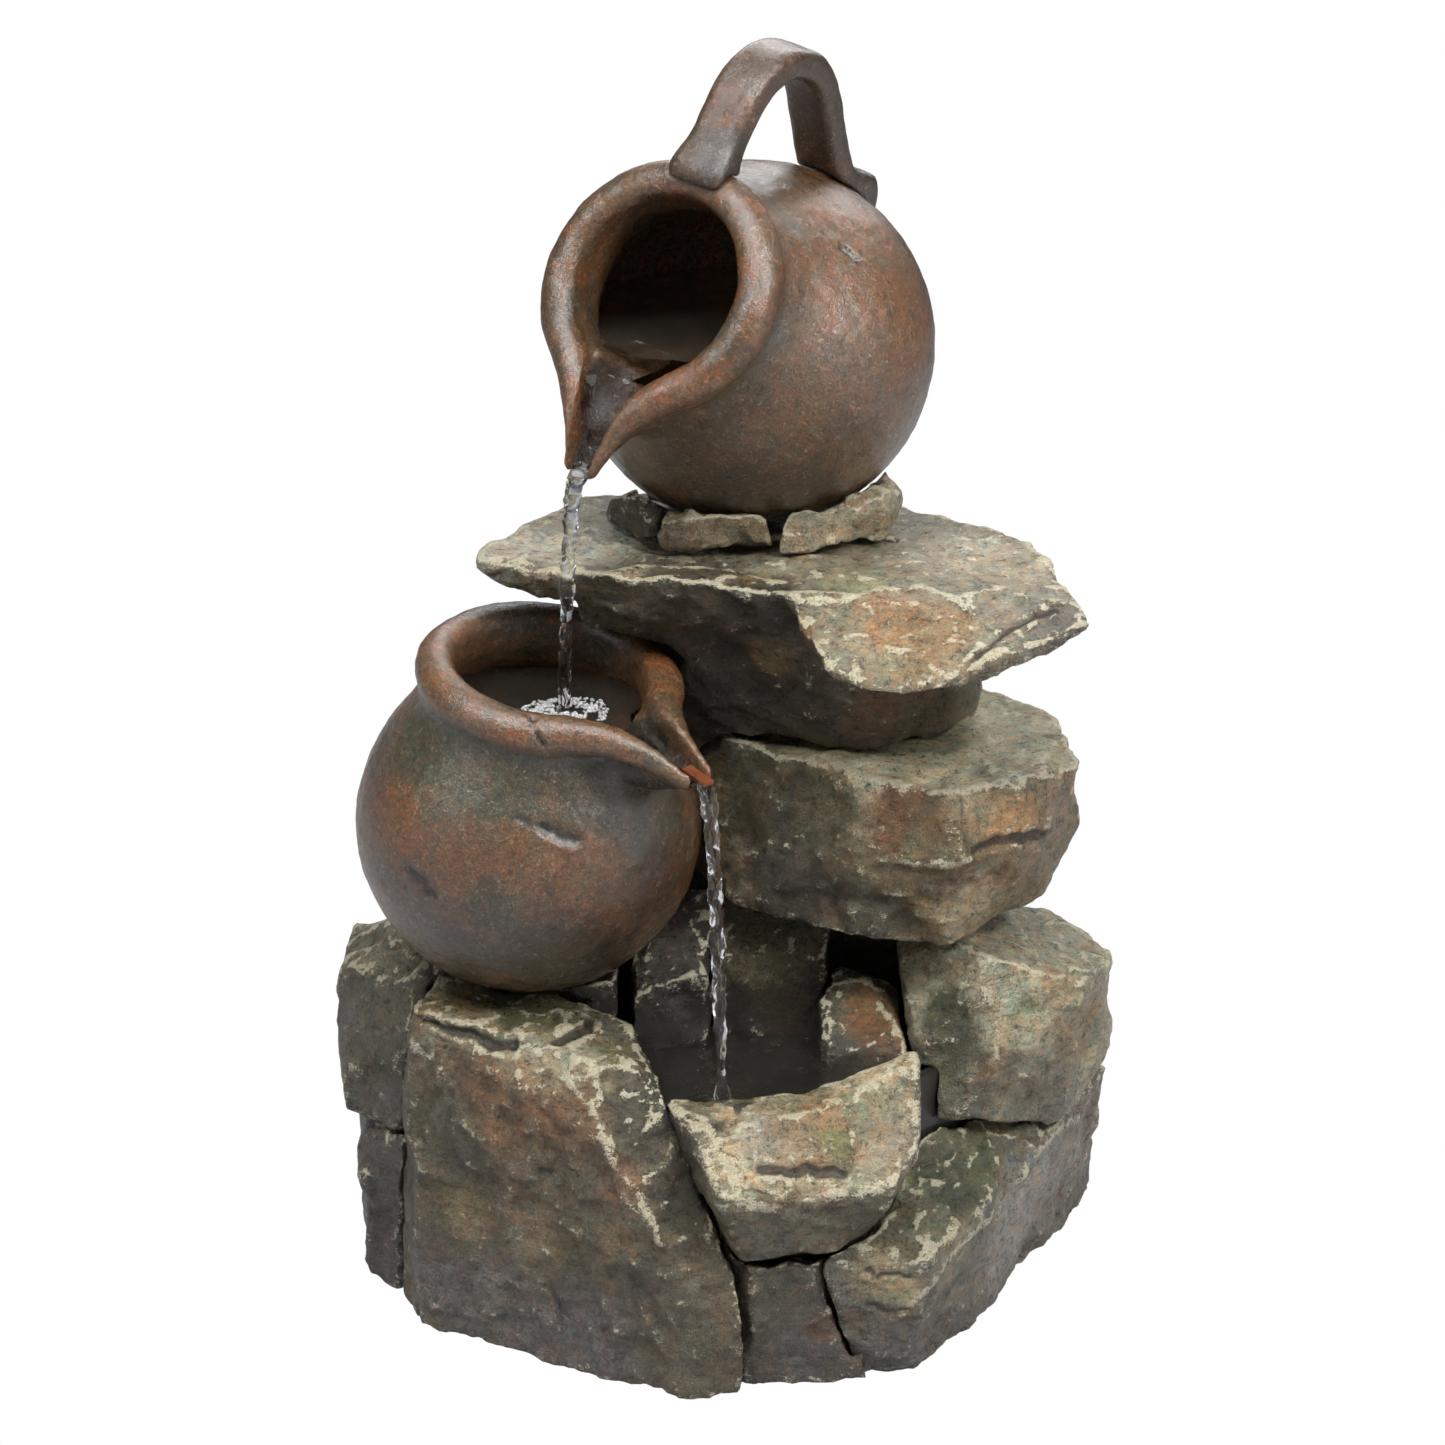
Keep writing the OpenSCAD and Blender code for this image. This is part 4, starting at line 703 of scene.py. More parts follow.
def rim_path(j):
    """The middle line of the rolled rim: most of a circle, then two lips that close at the spout."""
    start = math.radians(44)
    ring = np.linspace(start, 2 * math.pi - start, 90)
    path = np.stack([j["mouth"] * np.cos(ring), j["mouth"] * np.sin(ring), 0 * ring, 0 * ring + ROLL], 1)
    a = path[0, :2]
    b = a + 11 * np.array([math.sin(start), -math.cos(start)])
    c, d = np.array([j["spout"] - 20, 5.6]), np.array([j["spout"] - 3.6, 2.7])
    t = np.linspace(0, 1, 24)[1:, None]
    lip = a * (1 - t)**3 + 3 * b * t * (1 - t)**2 + 3 * c * t**2 * (1 - t) + d * t**3
    t = t[:, 0]
    lip = np.column_stack([lip, 2.4 * np.sin(math.pi * t), ROLL - 3.1 * t**0.8])
    other = lip * (1, -1, 1, 1)
    return np.vstack([lip[::-1], path, other])


def outer_field(j, x, y, z):
    """The outside of a jug as if it were full."""
    rho = np.hypot(x, y)
    body = np.sqrt(rho**2 + z**2) - j["r"]
    (ax, az), (bx, bz) = (0.8 * j["r"], j["neck"] / 2), (j["mouth"] + 2.5, j["neck"])
    long = math.hypot(bx - ax, bz - az)
    slope = ((rho - ax) * (bz - az) - (z - az) * (bx - ax)) / long
    neck = np.maximum(np.maximum(slope, z - j["neck"] + 2), 12 - z)
    root, tip = (0.42 * j["mouth"], 0, j["neck"] - 15), (j["spout"] - 5.5, 0, j["neck"] - 1.2)
    beak = cone(x, y, z, root, tip, 16, 3.6)
    shell = smin(smin(body, neck, 5), beak, 7)
    path = rim_path(j)
    flat = np.stack([x[:, :, 0].ravel(), y[:, :, 0].ravel()], 1)
    gap, k, h = nearest(flat, path[:, :2])
    rise, thick = (path[k, 2:] + h[:, None] * (path[k + 1] - path[k])[:, 2:]).T
    gap, rise, thick = (v.reshape(*x.shape[:2], 1) for v in (gap, rise, thick))
    return smin(shell, np.hypot(gap, z - j["neck"] - rise) - thick, 3.2)


def jug_field(j, x, y, z):
    """A jug with its hollow, its mouth and the channel of its spout."""
    rho = np.hypot(x, y)
    hollow = np.sqrt(rho**2 + z**2) - j["r"] + WALL
    bore = np.maximum(rho - j["mouth"] + ROLL - 0.6, j["neck"] / 2 - z)
    (ax, ra, az), (bx, rb, bz) = CHANNEL_ROOT, CHANNEL_TIP
    root, tip = (j["mouth"] + ax, 0, j["neck"] + az), (j["spout"] + bx, 0, j["neck"] + bz)
    channel = cone(x, y, z, root, tip, ra, rb, True)
    out = smax(outer_field(j, x, y, z), -smin(hollow, bore, 9), 2.4)
    return smax(out, -channel, 1.6)


def grid(low, high):
    """Points CELL apart over a box with some room round it, and the first of them."""
    axes = [np.arange(a - 3 * CELL, b + 4 * CELL, CELL) for a, b in zip(low, high)]
    return np.meshgrid(*axes, indexing="ij"), np.array([a[0] for a in axes])


def trimmed(a, axis, first):
    """An array without its last layer along an axis (first = 0), or without its first one (first = 1)."""
    s = [slice(None)] * 3
    s[axis] = slice(first, a.shape[axis] - 1 + first)
    return a[tuple(s)]


def net(field, low):
    """A quad mesh of the surface where field is 0: one point in each cell that the surface crosses."""
    cells = [k - 1 for k in field.shape]
    total, count = np.zeros((*cells, 3), np.float32), np.zeros(cells, np.float32)
    for axis in range(3):
        u, v = [k for k in range(3) if k != axis]
        for du in (0, 1):
            for dv in (0, 1):
                side = trimmed(trimmed(field, u, du), v, dv)
                a, b = trimmed(side, axis, 0), trimmed(side, axis, 1)
                cross = (a < 0) != (b < 0)
                t = np.zeros(a.shape, np.float32)
                t[cross] = a[cross] / (a[cross] - b[cross])
                total[..., axis] += t
                total[..., u] += du * cross
                total[..., v] += dv * cross
                count += cross
    used = count > 0
    index = np.full(used.shape, -1, np.int64)
    index[used] = np.arange(used.sum())
    points = (np.argwhere(used) + total[used] / count[used][:, None]) * CELL + low
    faces = []
    for axis in range(3):
        u, v = [k for k in range(3) if k != axis]
        a, b = trimmed(field, axis, 0) < 0, trimmed(field, axis, 1) < 0
        at = np.argwhere(a != b)
        inside_first = a[tuple(at.T)]
        quad = []
        for du, dv in ((-1, -1), (0, -1), (0, 0), (-1, 0)):
            c = at.copy()
            c[:, u] += du
            c[:, v] += dv
            quad.append(index[tuple(c.T)])
        quad = np.stack(quad, 1)
        flip = inside_first == (axis == 1)
        quad[flip] = quad[flip][:, ::-1]
        faces.append(quad)
    return Surface(points, np.vstack(faces))


def clay_material():
    """Bronze-brown painted clay look: leathery crinkle, satin glaze, worn patina, pale flecks that are
    partly a painted highlight.
    """
    s = Shader("bronze_clay", Specular_IOR_Level=0.3, Coat_Weight=1.0, Coat_Roughness=0.13, Coat_IOR=1.6)
    grain = s.noise(1.7, 7, 0.72, distortion=1.2)
    fine = s.noise(0.8, 4, 0.65, distortion=0.6)
    height = s.sum((grain, 0.68), (fine, 0.32))
    wet = s.attribute("wet")
    color = s.times(s.attribute("paint", "Color"), s.grey(s.ramp(height, 0.40, 0.60, 0.60, 1.40)))
    warmth = s.ramp(s.noise(5, 5, 0.65, distortion=0.6), 0.36, 0.64)
    color = s.times(color, s.mix(warmth, (0.84, 1.03, 1.04), (1.18, 0.96, 0.78)))
    color = s.mix(s.ramp(height, 0.39, 0.44, 0.5, 0.0), color, (0.020, 0.016, 0.012))
    # pale flecks on the crinkle's peaks: worn paint and partly a painted highlight
    color = s.over(color, s.ramp(height, 0.56, 0.62), (0.50, 0.38, 0.25), s.attribute("wear_and_glint"))
    rough = s.sum((s.ramp(s.noise(7, 4, 0.6), 0.3, 0.7, 0.24, 0.38), 1), (wet, -0.15))
    s.link(s.bump(height, 1.0, 0.32), s.bsdf.inputs["Coat Normal"])
    s.link(s.math("SUBTRACT", 1.0, s.math("MULTIPLY", wet, 0.85)), s.bsdf.inputs["Coat Weight"])
    return s.finish(color, rough, s.bump(height, 1.0, 1.0))


BRONZE = (0.17, 0.105, 0.065)
CHAR = (0.022, 0.017, 0.014)
BURNT = np.array([0.70, 0.57, 0.42])
SHADE = {"lower_jug": 1, "upper_jug": 0.82, "upper_handle": 0.48}
INSIDE = {"lower_jug": (0.20, 0.105, 0.062), "upper_jug": (0.30, 0.205, 0.14), "upper_handle": CHAR}
JUG_PATCHES = {
    # node: middle in mm, reach in mm, colour, strength; the lowest patches make each jug darker towards
    # its foot
    "lower_jug": [
        ((-86, -38, 192), 21, (0.08, 0.088, 0.06), 0.95),
        ((-64, -52, 188), 18, (0.085, 0.092, 0.072), 0.95),
        ((-38, -50, 187), 19, (0.062, 0.066, 0.058), 0.95),
        ((-20, -42, 174), 18, (0.055, 0.052, 0.036), 0.9),
        ((-98, -42, 170), 12, (0.25, 0.115, 0.04), 0.85),
        ((-80, -56, 161), 13, (0.21, 0.105, 0.045), 0.75),
        ((-104, -32, 158), 12, (0.14, 0.105, 0.085), 0.7),
        ((-56, -58, 164), 12, (0.18, 0.11, 0.062), 0.6),
        ((-40, -58, 155), 13, (0.165, 0.088, 0.04), 0.75),
        ((-38, -54, 141), 7, (0.22, 0.085, 0.028), 0.75),
        ((-68, -59, 148), 10, (0.07, 0.07, 0.054), 0.85),
        ((-88, -48, 142), 14, (0.095, 0.08, 0.07), 0.7),
        ((-18, -38, 150), 15, (0.07, 0.035, 0.018), 0.8),
        ((-46, -54, 128), 22, (0.03, 0.021, 0.013), 0.9),
        ((-76, -50, 130), 13, (0.055, 0.042, 0.032), 0.8),
        ((-100, 8, 170), 24, (0.16, 0.085, 0.045), 0.7)],
    "upper_jug": [
        ((12, 16, 348), 20, (0.15, 0.12, 0.098), 0.8), ((42, 24, 338), 20, (0.25, 0.16, 0.118), 0.8),
        ((34, 0, 318), 15, (0.24, 0.14, 0.09), 0.8), ((22, -12, 310), 9, (0.22, 0.145, 0.1), 0.7),
        ((57, 14, 308), 17, (0.24, 0.135, 0.078), 0.8), ((26, -13, 292), 13, (0.19, 0.118, 0.062), 0.8),
        ((12, -20, 318), 9, (0.11, 0.095, 0.08), 0.85), ((2, -20, 297), 12, (0.09, 0.074, 0.054), 0.85),
        ((52, 6, 284), 13, (0.18, 0.125, 0.09), 0.7), ((36, -4, 275), 13, (0.105, 0.068, 0.042), 0.8),
        ((12, -13, 282), 10, (0.15, 0.1, 0.055), 0.7), ((-6, -10, 272), 18, (0.11, 0.072, 0.044), 0.8),
        ((15, 0, 256), 22, (0.062, 0.04, 0.026), 0.85), ((8, -16, 338), 10, (0.2, 0.13, 0.09), 0.7)],
    "upper_handle": [
        ((2, 8, 378), 12, (0.26, 0.13, 0.062), 0.8), ((12, 18, 387), 12, (0.2, 0.12, 0.07), 0.8),
        ((30, 30, 380), 13, (0.125, 0.075, 0.046), 0.85),
        ((38, 50, 360), 16, (0.085, 0.056, 0.036), 0.9), ((46, 64, 340), 13, (0.08, 0.056, 0.045), 0.9),
        ((2, 2, 363), 9, (0.055, 0.042, 0.032), 0.85)],
}
GOUGES = {
    # node: points of a mark in mm, half width, depth, and how dark it is
    "lower_jug": [
        ([(-53, -57.5, 174), (-48, -58, 171.5), (-44, -56.5, 170)], 1.5, 1.3, 0.95),
        ([(-61, -57.5, 177), (-53, -57.5, 174)], 0.5, 0.5, 0.8),
        ([(-94, -48, 156.5), (-90, -51, 153.5), (-87, -53, 150.5)], 1.2, 1.1, 0.9),
        ([(-57, -51.5, 208), (-55.5, -54.5, 204), (-52.5, -56.5, 200)], 0.6, 1.2, 1.0)],
    "upper_jug": [([(36.5, 10.5, 332), (38.5, 10.5, 329.5), (41.5, 11, 328.5)], 1.0, 1.4, 1.0)],
    "upper_handle": [],
}


def clay_paint(s, node, seed, rim, inside):
    """Point colours of a jug piece: rim and inside are masks from 0 to 1."""
    p = s.p
    lump, mottle, grain = fbm(p, 30, 3, seed), fbm(p, 9, 3, seed + 1), fbm(p, 2.6, 2, seed + 2)
    c = np.tile(BRONZE, (len(p), 1)) * (1 + 0.25 * lump)[:, None]
    c = lay(c, (0.20, 0.098, 0.042), 0.7 * step(fbm(p, 26, 3, seed + 3) + 0.25 * grain, 0.10, 0.45))
    c = lay(c, (0.060, 0.062, 0.046), 0.7 * step(fbm(p, 22, 3, seed + 4) + 0.25 * grain, 0.10, 0.42))
    for middle, reach, tone, strength in JUG_PATCHES[node]:
        r = np.linalg.norm(p - middle, axis=1) / reach + 0.30 * mottle + 0.20 * grain
        c = lay(c, tone, strength * step(1.35 - r, 0, 0.8) * (1 - 0.8 * rim))
    c = c * (1 + 0.22 * mottle + 0.18 * grain)[:, None]
    broad = s.bulge(12, 1.2)
    c = lay(c, (0.27, 0.155, 0.092), 0.65 * rim * step(broad + 0.25 * mottle, 0.0, 0.9))
    c = lay(c, (0.25, 0.105, 0.040), 0.7 * rim * step(fbm(p, 12, 3, seed + 6), 0.12, 0.40))
    c = lay(c, CHAR, 0.85 * step(-broad, 0.25, 1.1))
    return lay(c * BURNT * SHADE[node], INSIDE[node], 0.95 * inside)


def gouged(s, node):
    """Cuts a piece's gouges and cracks into it, and gives back how dark each point of them is."""
    n, dark = s.normals(), np.zeros(len(s.p))
    wobble = 1.3 * fbm(s.p, 3.0, 2, 88)
    for line, width, depth, black in GOUGES[node]:
        d = nearest(s.p, draped(s.p, line))[0]
        cut = np.exp(-(np.maximum(d - 0.4 + wobble, 0) / width)**2)
        s.p = s.p - n * (depth * cut - 0.12 * np.exp(-((d - 2.2 * width) / width)**2))[:, None]
        dark = np.maximum(dark, black * cut)
    return dark


def jug(name, node, j, seed, material, floor_z=None):
    """One jug with its rim, spout and gouges; floor_z cuts it flat where it rests."""
    r = j["r"]
    (x, y, z), low = grid((-r, -r, -r), (max(r, j["spout"]), r, j["neck"] + 11))
    s = net(jug_field(j, x, y, z).astype(np.float32), low)
    local = s.smoothed(s.p, 2, 0.5)
    radius, rho = np.linalg.norm(local, axis=1), np.hypot(local[:, 0], local[:, 1])
    lx, ly, lz = local[:, 0], np.abs(local[:, 1]), local[:, 2] - j["neck"]
    mouth = step(r - 1.5 - radius, 0, 2) * step(1 - lz, 0, 5) * step(j["mouth"] - 3.5 - rho, -3, 1)
    belly = step(r - WALL / 2 - radius, 0, 1.5) * step(j["mouth"] - 5 - local[:, 2], 0, 8)
    inside = np.maximum(mouth, belly)
    gutter = step(lx, j["mouth"] - 8, j["mouth"] - 2) * step(j["spout"] + 1 - lx, 0, 2) * step(lz, -12, -9)
    gutter = gutter * step(2.2 - lz, 0, 2.5) * step(3.4 + 0.22 * (j["spout"] - lx) - ly, 0, 1.2)
    rim = step(lz, -5, -1) * (1 - np.maximum(inside, gutter))
    s.p = local @ j["place"].T + np.array(j["middle"])
    if floor_z is not None:
        s.p[:, 2] = np.maximum(s.p[:, 2], floor_z)
    s.push(0.5 * fbm(s.p, 24, 2, seed) + 0.2 * fbm(s.p, 7, 2, seed + 5) + 0.2 * fbm(s.p, 3, 2, seed + 6))
    paint = clay_paint(s, node, seed, rim, inside)
    # the spout's channel is laid near black: wet clay, and painted shade down in the groove
    paint = lay(paint, CHAR, np.maximum(gouged(s, node), 0.85 * gutter))
    piece = build(name, s, material,
                  {"paint": np.clip(paint, 0.004, 0.9), "wear_and_glint": WEAR_AND_GLINT * (1 - inside),
                   "wet": np.maximum(0.6 * inside, gutter)})
    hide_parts(node)


def handle(material):
    """The strap handle: front foot over the rim, a bow, a rear leg with a flared tail."""
    j, seed = UPPER, 71
    gap_r, thick = 18, 9.5
    bow = np.radians(np.linspace(90, 215, 60))
    mid = gap_r + thick / 2
    arc = np.stack([mid * np.cos(bow), mid * np.sin(bow)], 1)
    away = np.array([-math.sin(bow[-1]), math.cos(bow[-1])])
    line = np.vstack([[21, mid], arc, arc[-1] + 16 * away, arc[-1] + 26 * away, arc[-1] + 43 * away])
    line = line + (-(j["r"] + 1), j["neck"] - 19)
    s_at = np.concatenate([[0], np.cumsum(np.linalg.norm(np.diff(line, axis=0), axis=1))])
    (x, y, z), low = grid((-102, -13, -26), (-26, 13, 76))
    flat = np.stack([x[:, 0, :].ravel(), z[:, 0, :].ravel()], 1)
    gap, k, h = nearest(flat, line)
    d = line[k + 1] - line[k]
    off = flat - line[k] - h[:, None] * d
    outer = d[:, 0] * off[:, 1] <= d[:, 1] * off[:, 0]
    along, full = s_at[k] + h * np.linalg.norm(d, axis=1), s_at[-1]
    t_in = 0.5 * thick + 1.4 * step(7 - along, 0, 7)
    t_out = 0.5 * thick + 1.5 * step(9 - along, 0, 9) + 9 * step(along, full - 13, full - 1)
    wide = 8.3 + 1.7 * step(12 - along, 0, 12) + 1.2 * step(along, full - 20, full)
    reach = np.where(outer, t_out, t_in)
    shape = (x.shape[0], 1, x.shape[2])
    corner = 2.8
    q1 = (gap - reach + corner).reshape(shape)
    q2 = np.abs(y) - (wide - corner).reshape(shape)
    strap = np.hypot(np.maximum(q1, 0), np.maximum(q2, 0)) + np.minimum(np.maximum(q1, q2), 0) - corner
    body = outer_field(j, x, y, z) - 0.5
    s = net(smax(strap, -body, 1.2).astype(np.float32), low)
    s.p = s.smoothed(s.p, 2, 0.5)
    s.p = s.p @ j["place"].T + np.array(j["middle"])
    s.push(0.35 * fbm(s.p, 14, 2, seed) + 0.2 * fbm(s.p, 5, 2, seed + 1))
    none = np.zeros(len(s.p))
    paint = clay_paint(s, "upper_handle", seed, none, none)
    piece = build("handle_strap", s, material,
                  {"paint": np.clip(paint, 0.004, 0.9), "wear_and_glint": none + WEAR_AND_GLINT, "wet": none})
    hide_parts("upper_handle")


clay = clay_material()
jug("upper_jug_skin", "upper_jug", UPPER, 40, clay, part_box("upper_jug")[0][2] / MM)
jug("lower_jug_skin", "lower_jug", LOWER, 50, clay)
handle(clay)


# ---- Water -----------------------------------------------------------------------------------------

POOL_Z, LANDING = 87.2, (0, -67)
UPPER_LEVEL, LOWER_LEVEL = 305, 197


def water_material(name, tint, roughness=0.03, bump=0.0, clear=1.0):
    """Clear or tinted water, with ripples as deep as bump in mm."""
    s = Shader(name, Transmission_Weight=clear, IOR=1.33, Base_Color=(*tint, 1))
    ripple = s.sum((s.noise(5, 3, 0.6), 1.0), (s.noise(1.8, 3, 0.6), 0.4))
    rough = s.ramp(ripple, 0.5, 0.9, roughness, roughness + 0.05)
    return s.finish(None, rough, s.bump(ripple, 1.0, bump) if bump else None)


def sheet(name, low, high, z, keep, material, drop=None, strength=0.35):
    """A level water surface over a box, kept where keep is true, with rings round a falling stream."""
    cell = 1.2
    x, y = np.mgrid[low[0]:high[0]:cell, low[1]:high[1]:cell]
    p = np.stack([x.ravel(), y.ravel(), np.full(x.size, float(z))], 1)
    ok = keep(p)
    p[:, 2] += 0.10 * fbm(p, 9, 2, 91)
    if drop is not None:
        r = np.hypot(p[:, 0] - drop[0], p[:, 1] - drop[1])
        p[:, 2] += strength * np.cos(r * 1.35) * np.exp(-r / 11)
    quads = woven(*x.shape)
    quads = quads[ok[quads].all(axis=1)]
    used, quads = np.unique(quads, return_inverse=True)
    build(name, Surface(p[used], quads.reshape(-1, 4)), material)


def in_jug(j, margin):
    """True for world points that lie inside a jug's outside by at least margin mm."""
    def keep(p):
        local = (p - np.array(j["middle"])) @ j["place"]
        x, y, z = (local[:, k].reshape(-1, 1, 1) for k in range(3))
        ok = outer_field(j, x, y, z).ravel() < -margin
        return ok & (local[:, 2] < j["neck"] + 1)
    return keep


def chute(name, j, start, level, material):
    """Water that runs down a jug's spout channel, from the surface inside to the tip."""
    along, across = 60, 15
    axis_x = np.linspace(start, j["spout"] + 1.5, along)
    far = (axis_x - CHANNEL_ROOT[0] - j["mouth"]) / (j["spout"] + 5 - CHANNEL_ROOT[0] - j["mouth"])
    radius = CHANNEL_ROOT[1] + far * (CHANNEL_TIP[1] - CHANNEL_ROOT[1])
    middle = j["neck"] + CHANNEL_ROOT[2] + far * (CHANNEL_TIP[2] - CHANNEL_ROOT[2])
    tilt = j["place"][2]
    flat = (level - j["middle"][2] - tilt[0] * axis_x) / tilt[2]
    bed = middle - radius + 1.7
    top = bed + np.maximum(flat - bed, 0) * step(1 - far, 0.35, 1.0)
    wide = np.sqrt(np.maximum(radius**2 - np.minimum(middle - top, radius)**2, 0.3)) + 0.5
    v = np.linspace(-1, 1, across)
    x, y = np.repeat(axis_x, across), (wide[:, None] * v).ravel()
    z = np.repeat(top, across) + 0.3 * np.sin(x * 1.1) * (1 - np.tile(v, along)**2)
    local = np.stack([x, y, z], 1)
    local[:, 2] += 0.35 * fbm(local, 3.5, 2, 93)
    world = local @ j["place"].T + np.array(j["middle"])
    build(name, Surface(world, woven(along, across)), material)


def stream(name, top, foot, wide, narrow, material, seed):
    """A falling stream: an oval rope of water that turns its flat side round every few centimetres."""
    rng = np.random.default_rng(seed)
    around, along = 20, int((top[2] - foot[2]) / 0.8)
    t = np.linspace(0, 1, along)
    path = np.array(top) + (np.array(foot) - np.array(top)) * np.stack([np.sqrt(t), np.sqrt(t), t], 1)
    drop = t * (top[2] - foot[2])
    phase = 2 * math.pi * drop / (21 + 3 * np.sin(drop / 17 + rng.uniform(0, 6)))
    r = wide + (narrow - wide) * t**0.6
    r = r * (1 + 0.10 * np.sin(drop * 0.9 + 1.3) + 0.06 * np.sin(drop * 2.3))
    a, b = r * (1 + 0.42 * np.sin(phase)), r * (1 - 0.42 * np.sin(phase))
    turn_by = 0.5 + 0.5 * np.sin(drop / 26)
    w = np.linspace(0, 2 * math.pi, around, endpoint=False)
    u, v = a[:, None] * np.cos(w), b[:, None] * np.sin(w)
    x = path[:, 0, None] + u * np.cos(turn_by)[:, None] - v * np.sin(turn_by)[:, None]
    y = path[:, 1, None] + u * np.sin(turn_by)[:, None] + v * np.cos(turn_by)[:, None]
    z = np.repeat(path[:, 2, None], around, 1)
    p = np.stack([x.ravel(), y.ravel(), z.ravel()], 1)
    p[:, :2] += 0.28 * np.stack([fbm(p, (3, 3, 5), 2, seed), fbm(p, (3, 3, 5), 2, seed + 1)], 1)
    build(name, Surface(p, woven(along, around, True)), material)


def foam(name, middle, reach, z, count, keep, material, seed):
    """A raft of small bubbles round the place where a stream lands."""
    rng = np.random.default_rng(seed)
    spots = []
    while len(spots) < count:
        angle, r = rng.uniform(0, 2 * math.pi), reach * (0.22 + 0.78 * rng.uniform()**0.7)
        c = np.array([middle[0] + 1.15 * r * math.cos(angle), middle[1] + 0.85 * r * math.sin(angle), z])
        size = rng.uniform(0.35, 0.95) * (1.15 - 0.4 * r / reach)
        if value_noise(c[None], 5, seed)[0] > -0.25 and keep(c[None])[0]:
            spots.append((c, size))
    rings, around = 4, 9
    e, w = np.linspace(-0.25, 1.45, rings), np.linspace(0, 2 * math.pi, around, endpoint=False)
    dome = np.stack([np.outer(np.cos(e), np.cos(w)), np.outer(np.cos(e), np.sin(w)),
                     np.repeat(np.sin(e)[:, None], around, 1)], -1).reshape(-1, 3)
    quads = woven(rings, around, True)[:, ::-1]
    points = np.vstack([c + s * dome for c, s in spots])
    faces = np.vstack([quads + i * len(dome) for i in range(len(spots))])
    build(name, Surface(points, faces), material)


def pool_keep(p):
    """True inside the basin: over the tub, and not out past the spill lip's stone."""
    tub, tub_r = (5, 4), 74
    inside = np.hypot(p[:, 0] - tub[0], p[:, 1] - tub[1]) < tub_r
    return inside & (p[:, 1] < -2) & (p[:, 0] > -42) & (p[:, 0] < 60)


clear = water_material("clear_water", (0.97, 0.99, 1.0), 0.0)
dark = water_material("pool_water", (0.80, 0.76, 0.62), 0.02, 0.3, 0.985)
sheet("pool_surface", (-44, -74), (62, 0), POOL_Z, pool_keep, dark, drop=LANDING)
sheet("lower_jug_surface", (-90, -50), (-18, 24), LOWER_LEVEL, in_jug(LOWER, 1.8), dark,
      drop=(-48, -18), strength=0.25)
sheet("upper_jug_surface", (-50, -20), (64, 96), UPPER_LEVEL, in_jug(UPPER, 1.8), dark)
chute("lower_chute", LOWER, 22, LOWER_LEVEL, clear)
chute("upper_chute", UPPER, 16, UPPER_LEVEL, clear)
stream("upper_stream", (-43, -23, 271), (-48, -18, LOWER_LEVEL - 1), 2.4, 1.8, clear, 7)
stream("lower_stream", (-5, -64, 190), (0, -67, POOL_Z - 1), 2.3, 1.8, clear, 8)
bubbles = water_material("bubble_skin", (1.0, 1.0, 1.0), 0.08, 0.0, 0.72)
foam("jug_foam", (-46, -20), 13, LOWER_LEVEL - 0.1, 330, in_jug(LOWER, 5.5), bubbles, 9)
foam("pool_foam", LANDING, 5, POOL_Z, 45, lambda p: np.ones(len(p), bool), bubbles, 10)


# ---- Finishes for the nodes that keep their CAD shape ------------------------------------------------

def moulded(name, color, roughness, grain_mm, depth_mm, metallic, patch=0.25):
    """Moulded plastic, rubber or metal: fine grain, faint blotches and handling marks."""
    s = Shader(name, Metallic=metallic)
    grain, blotch = s.noise(grain_mm, 3, 0.6), s.noise(22, 4, 0.55, distortion=0.4)
    scuff = s.noise(3.5, 5, 0.7, stretch=(1, 1, 0.25), distortion=1.2)
    tone = s.math("ADD", s.ramp(blotch, 0.3, 0.7, 1 - patch, 1 + patch),
                  s.ramp(grain, 0.3, 0.7, -0.06, 0.06))
    shade = s.over(s.times(color, s.grey(tone)), s.ramp(scuff, 0.62, 0.72), (0.42, 0.40, 0.36), 0.18)
    rough = s.math("ADD", s.ramp(blotch, 0.3, 0.7, roughness - 0.06, roughness + 0.08),
                   s.ramp(scuff, 0.55, 0.75, 0, 0.12))
    return s.finish(shade, rough, s.bump(grain, 0.6, depth_mm))


FINISHES = {
    # material slot: colour, roughness, grain in mm, its depth, metallic
    "black_plastic": ((0.02, 0.019, 0.018), 0.42, 0.7, 0.03, 0.0),
    "tub_plastic": ((0.016, 0.015, 0.013), 0.35, 0.9, 0.04, 0.0),
    "base_resin": ((0.06, 0.056, 0.05), 0.62, 1.2, 0.1, 0.0),
    "foot_rubber": ((0.02, 0.02, 0.02), 0.78, 0.5, 0.03, 0.0),
    "cup_rubber": ((0.03, 0.03, 0.032), 0.55, 0.5, 0.02, 0.0),
    "pump_plastic": ((0.022, 0.022, 0.024), 0.38, 0.6, 0.02, 0.0),
    "screen_plastic": ((0.028, 0.028, 0.03), 0.45, 0.6, 0.02, 0.0),
    "regulator_plastic": ((0.55, 0.56, 0.55), 0.4, 0.6, 0.02, 0.0),
    "stainless_steel": ((0.62, 0.61, 0.59), 0.28, 0.3, 0.01, 1.0),
    "impeller_plastic": ((0.62, 0.62, 0.6), 0.35, 0.5, 0.02, 0.0),
    "shaft_ceramic": ((0.78, 0.77, 0.73), 0.22, 0.3, 0.01, 0.0),
    "bush_rubber": ((0.035, 0.033, 0.03), 0.7, 0.4, 0.02, 0.0),
    "core_steel": ((0.34, 0.34, 0.35), 0.45, 0.4, 0.02, 1.0),
    "coil_copper": ((0.62, 0.26, 0.12), 0.35, 0.35, 0.05, 1.0),
    "hose_plastic": ((0.5, 0.54, 0.55), 0.3, 0.8, 0.02, 0.0),
}
plain = {slot: moulded(slot + "_finish", *values) for slot, values in FINISHES.items()}


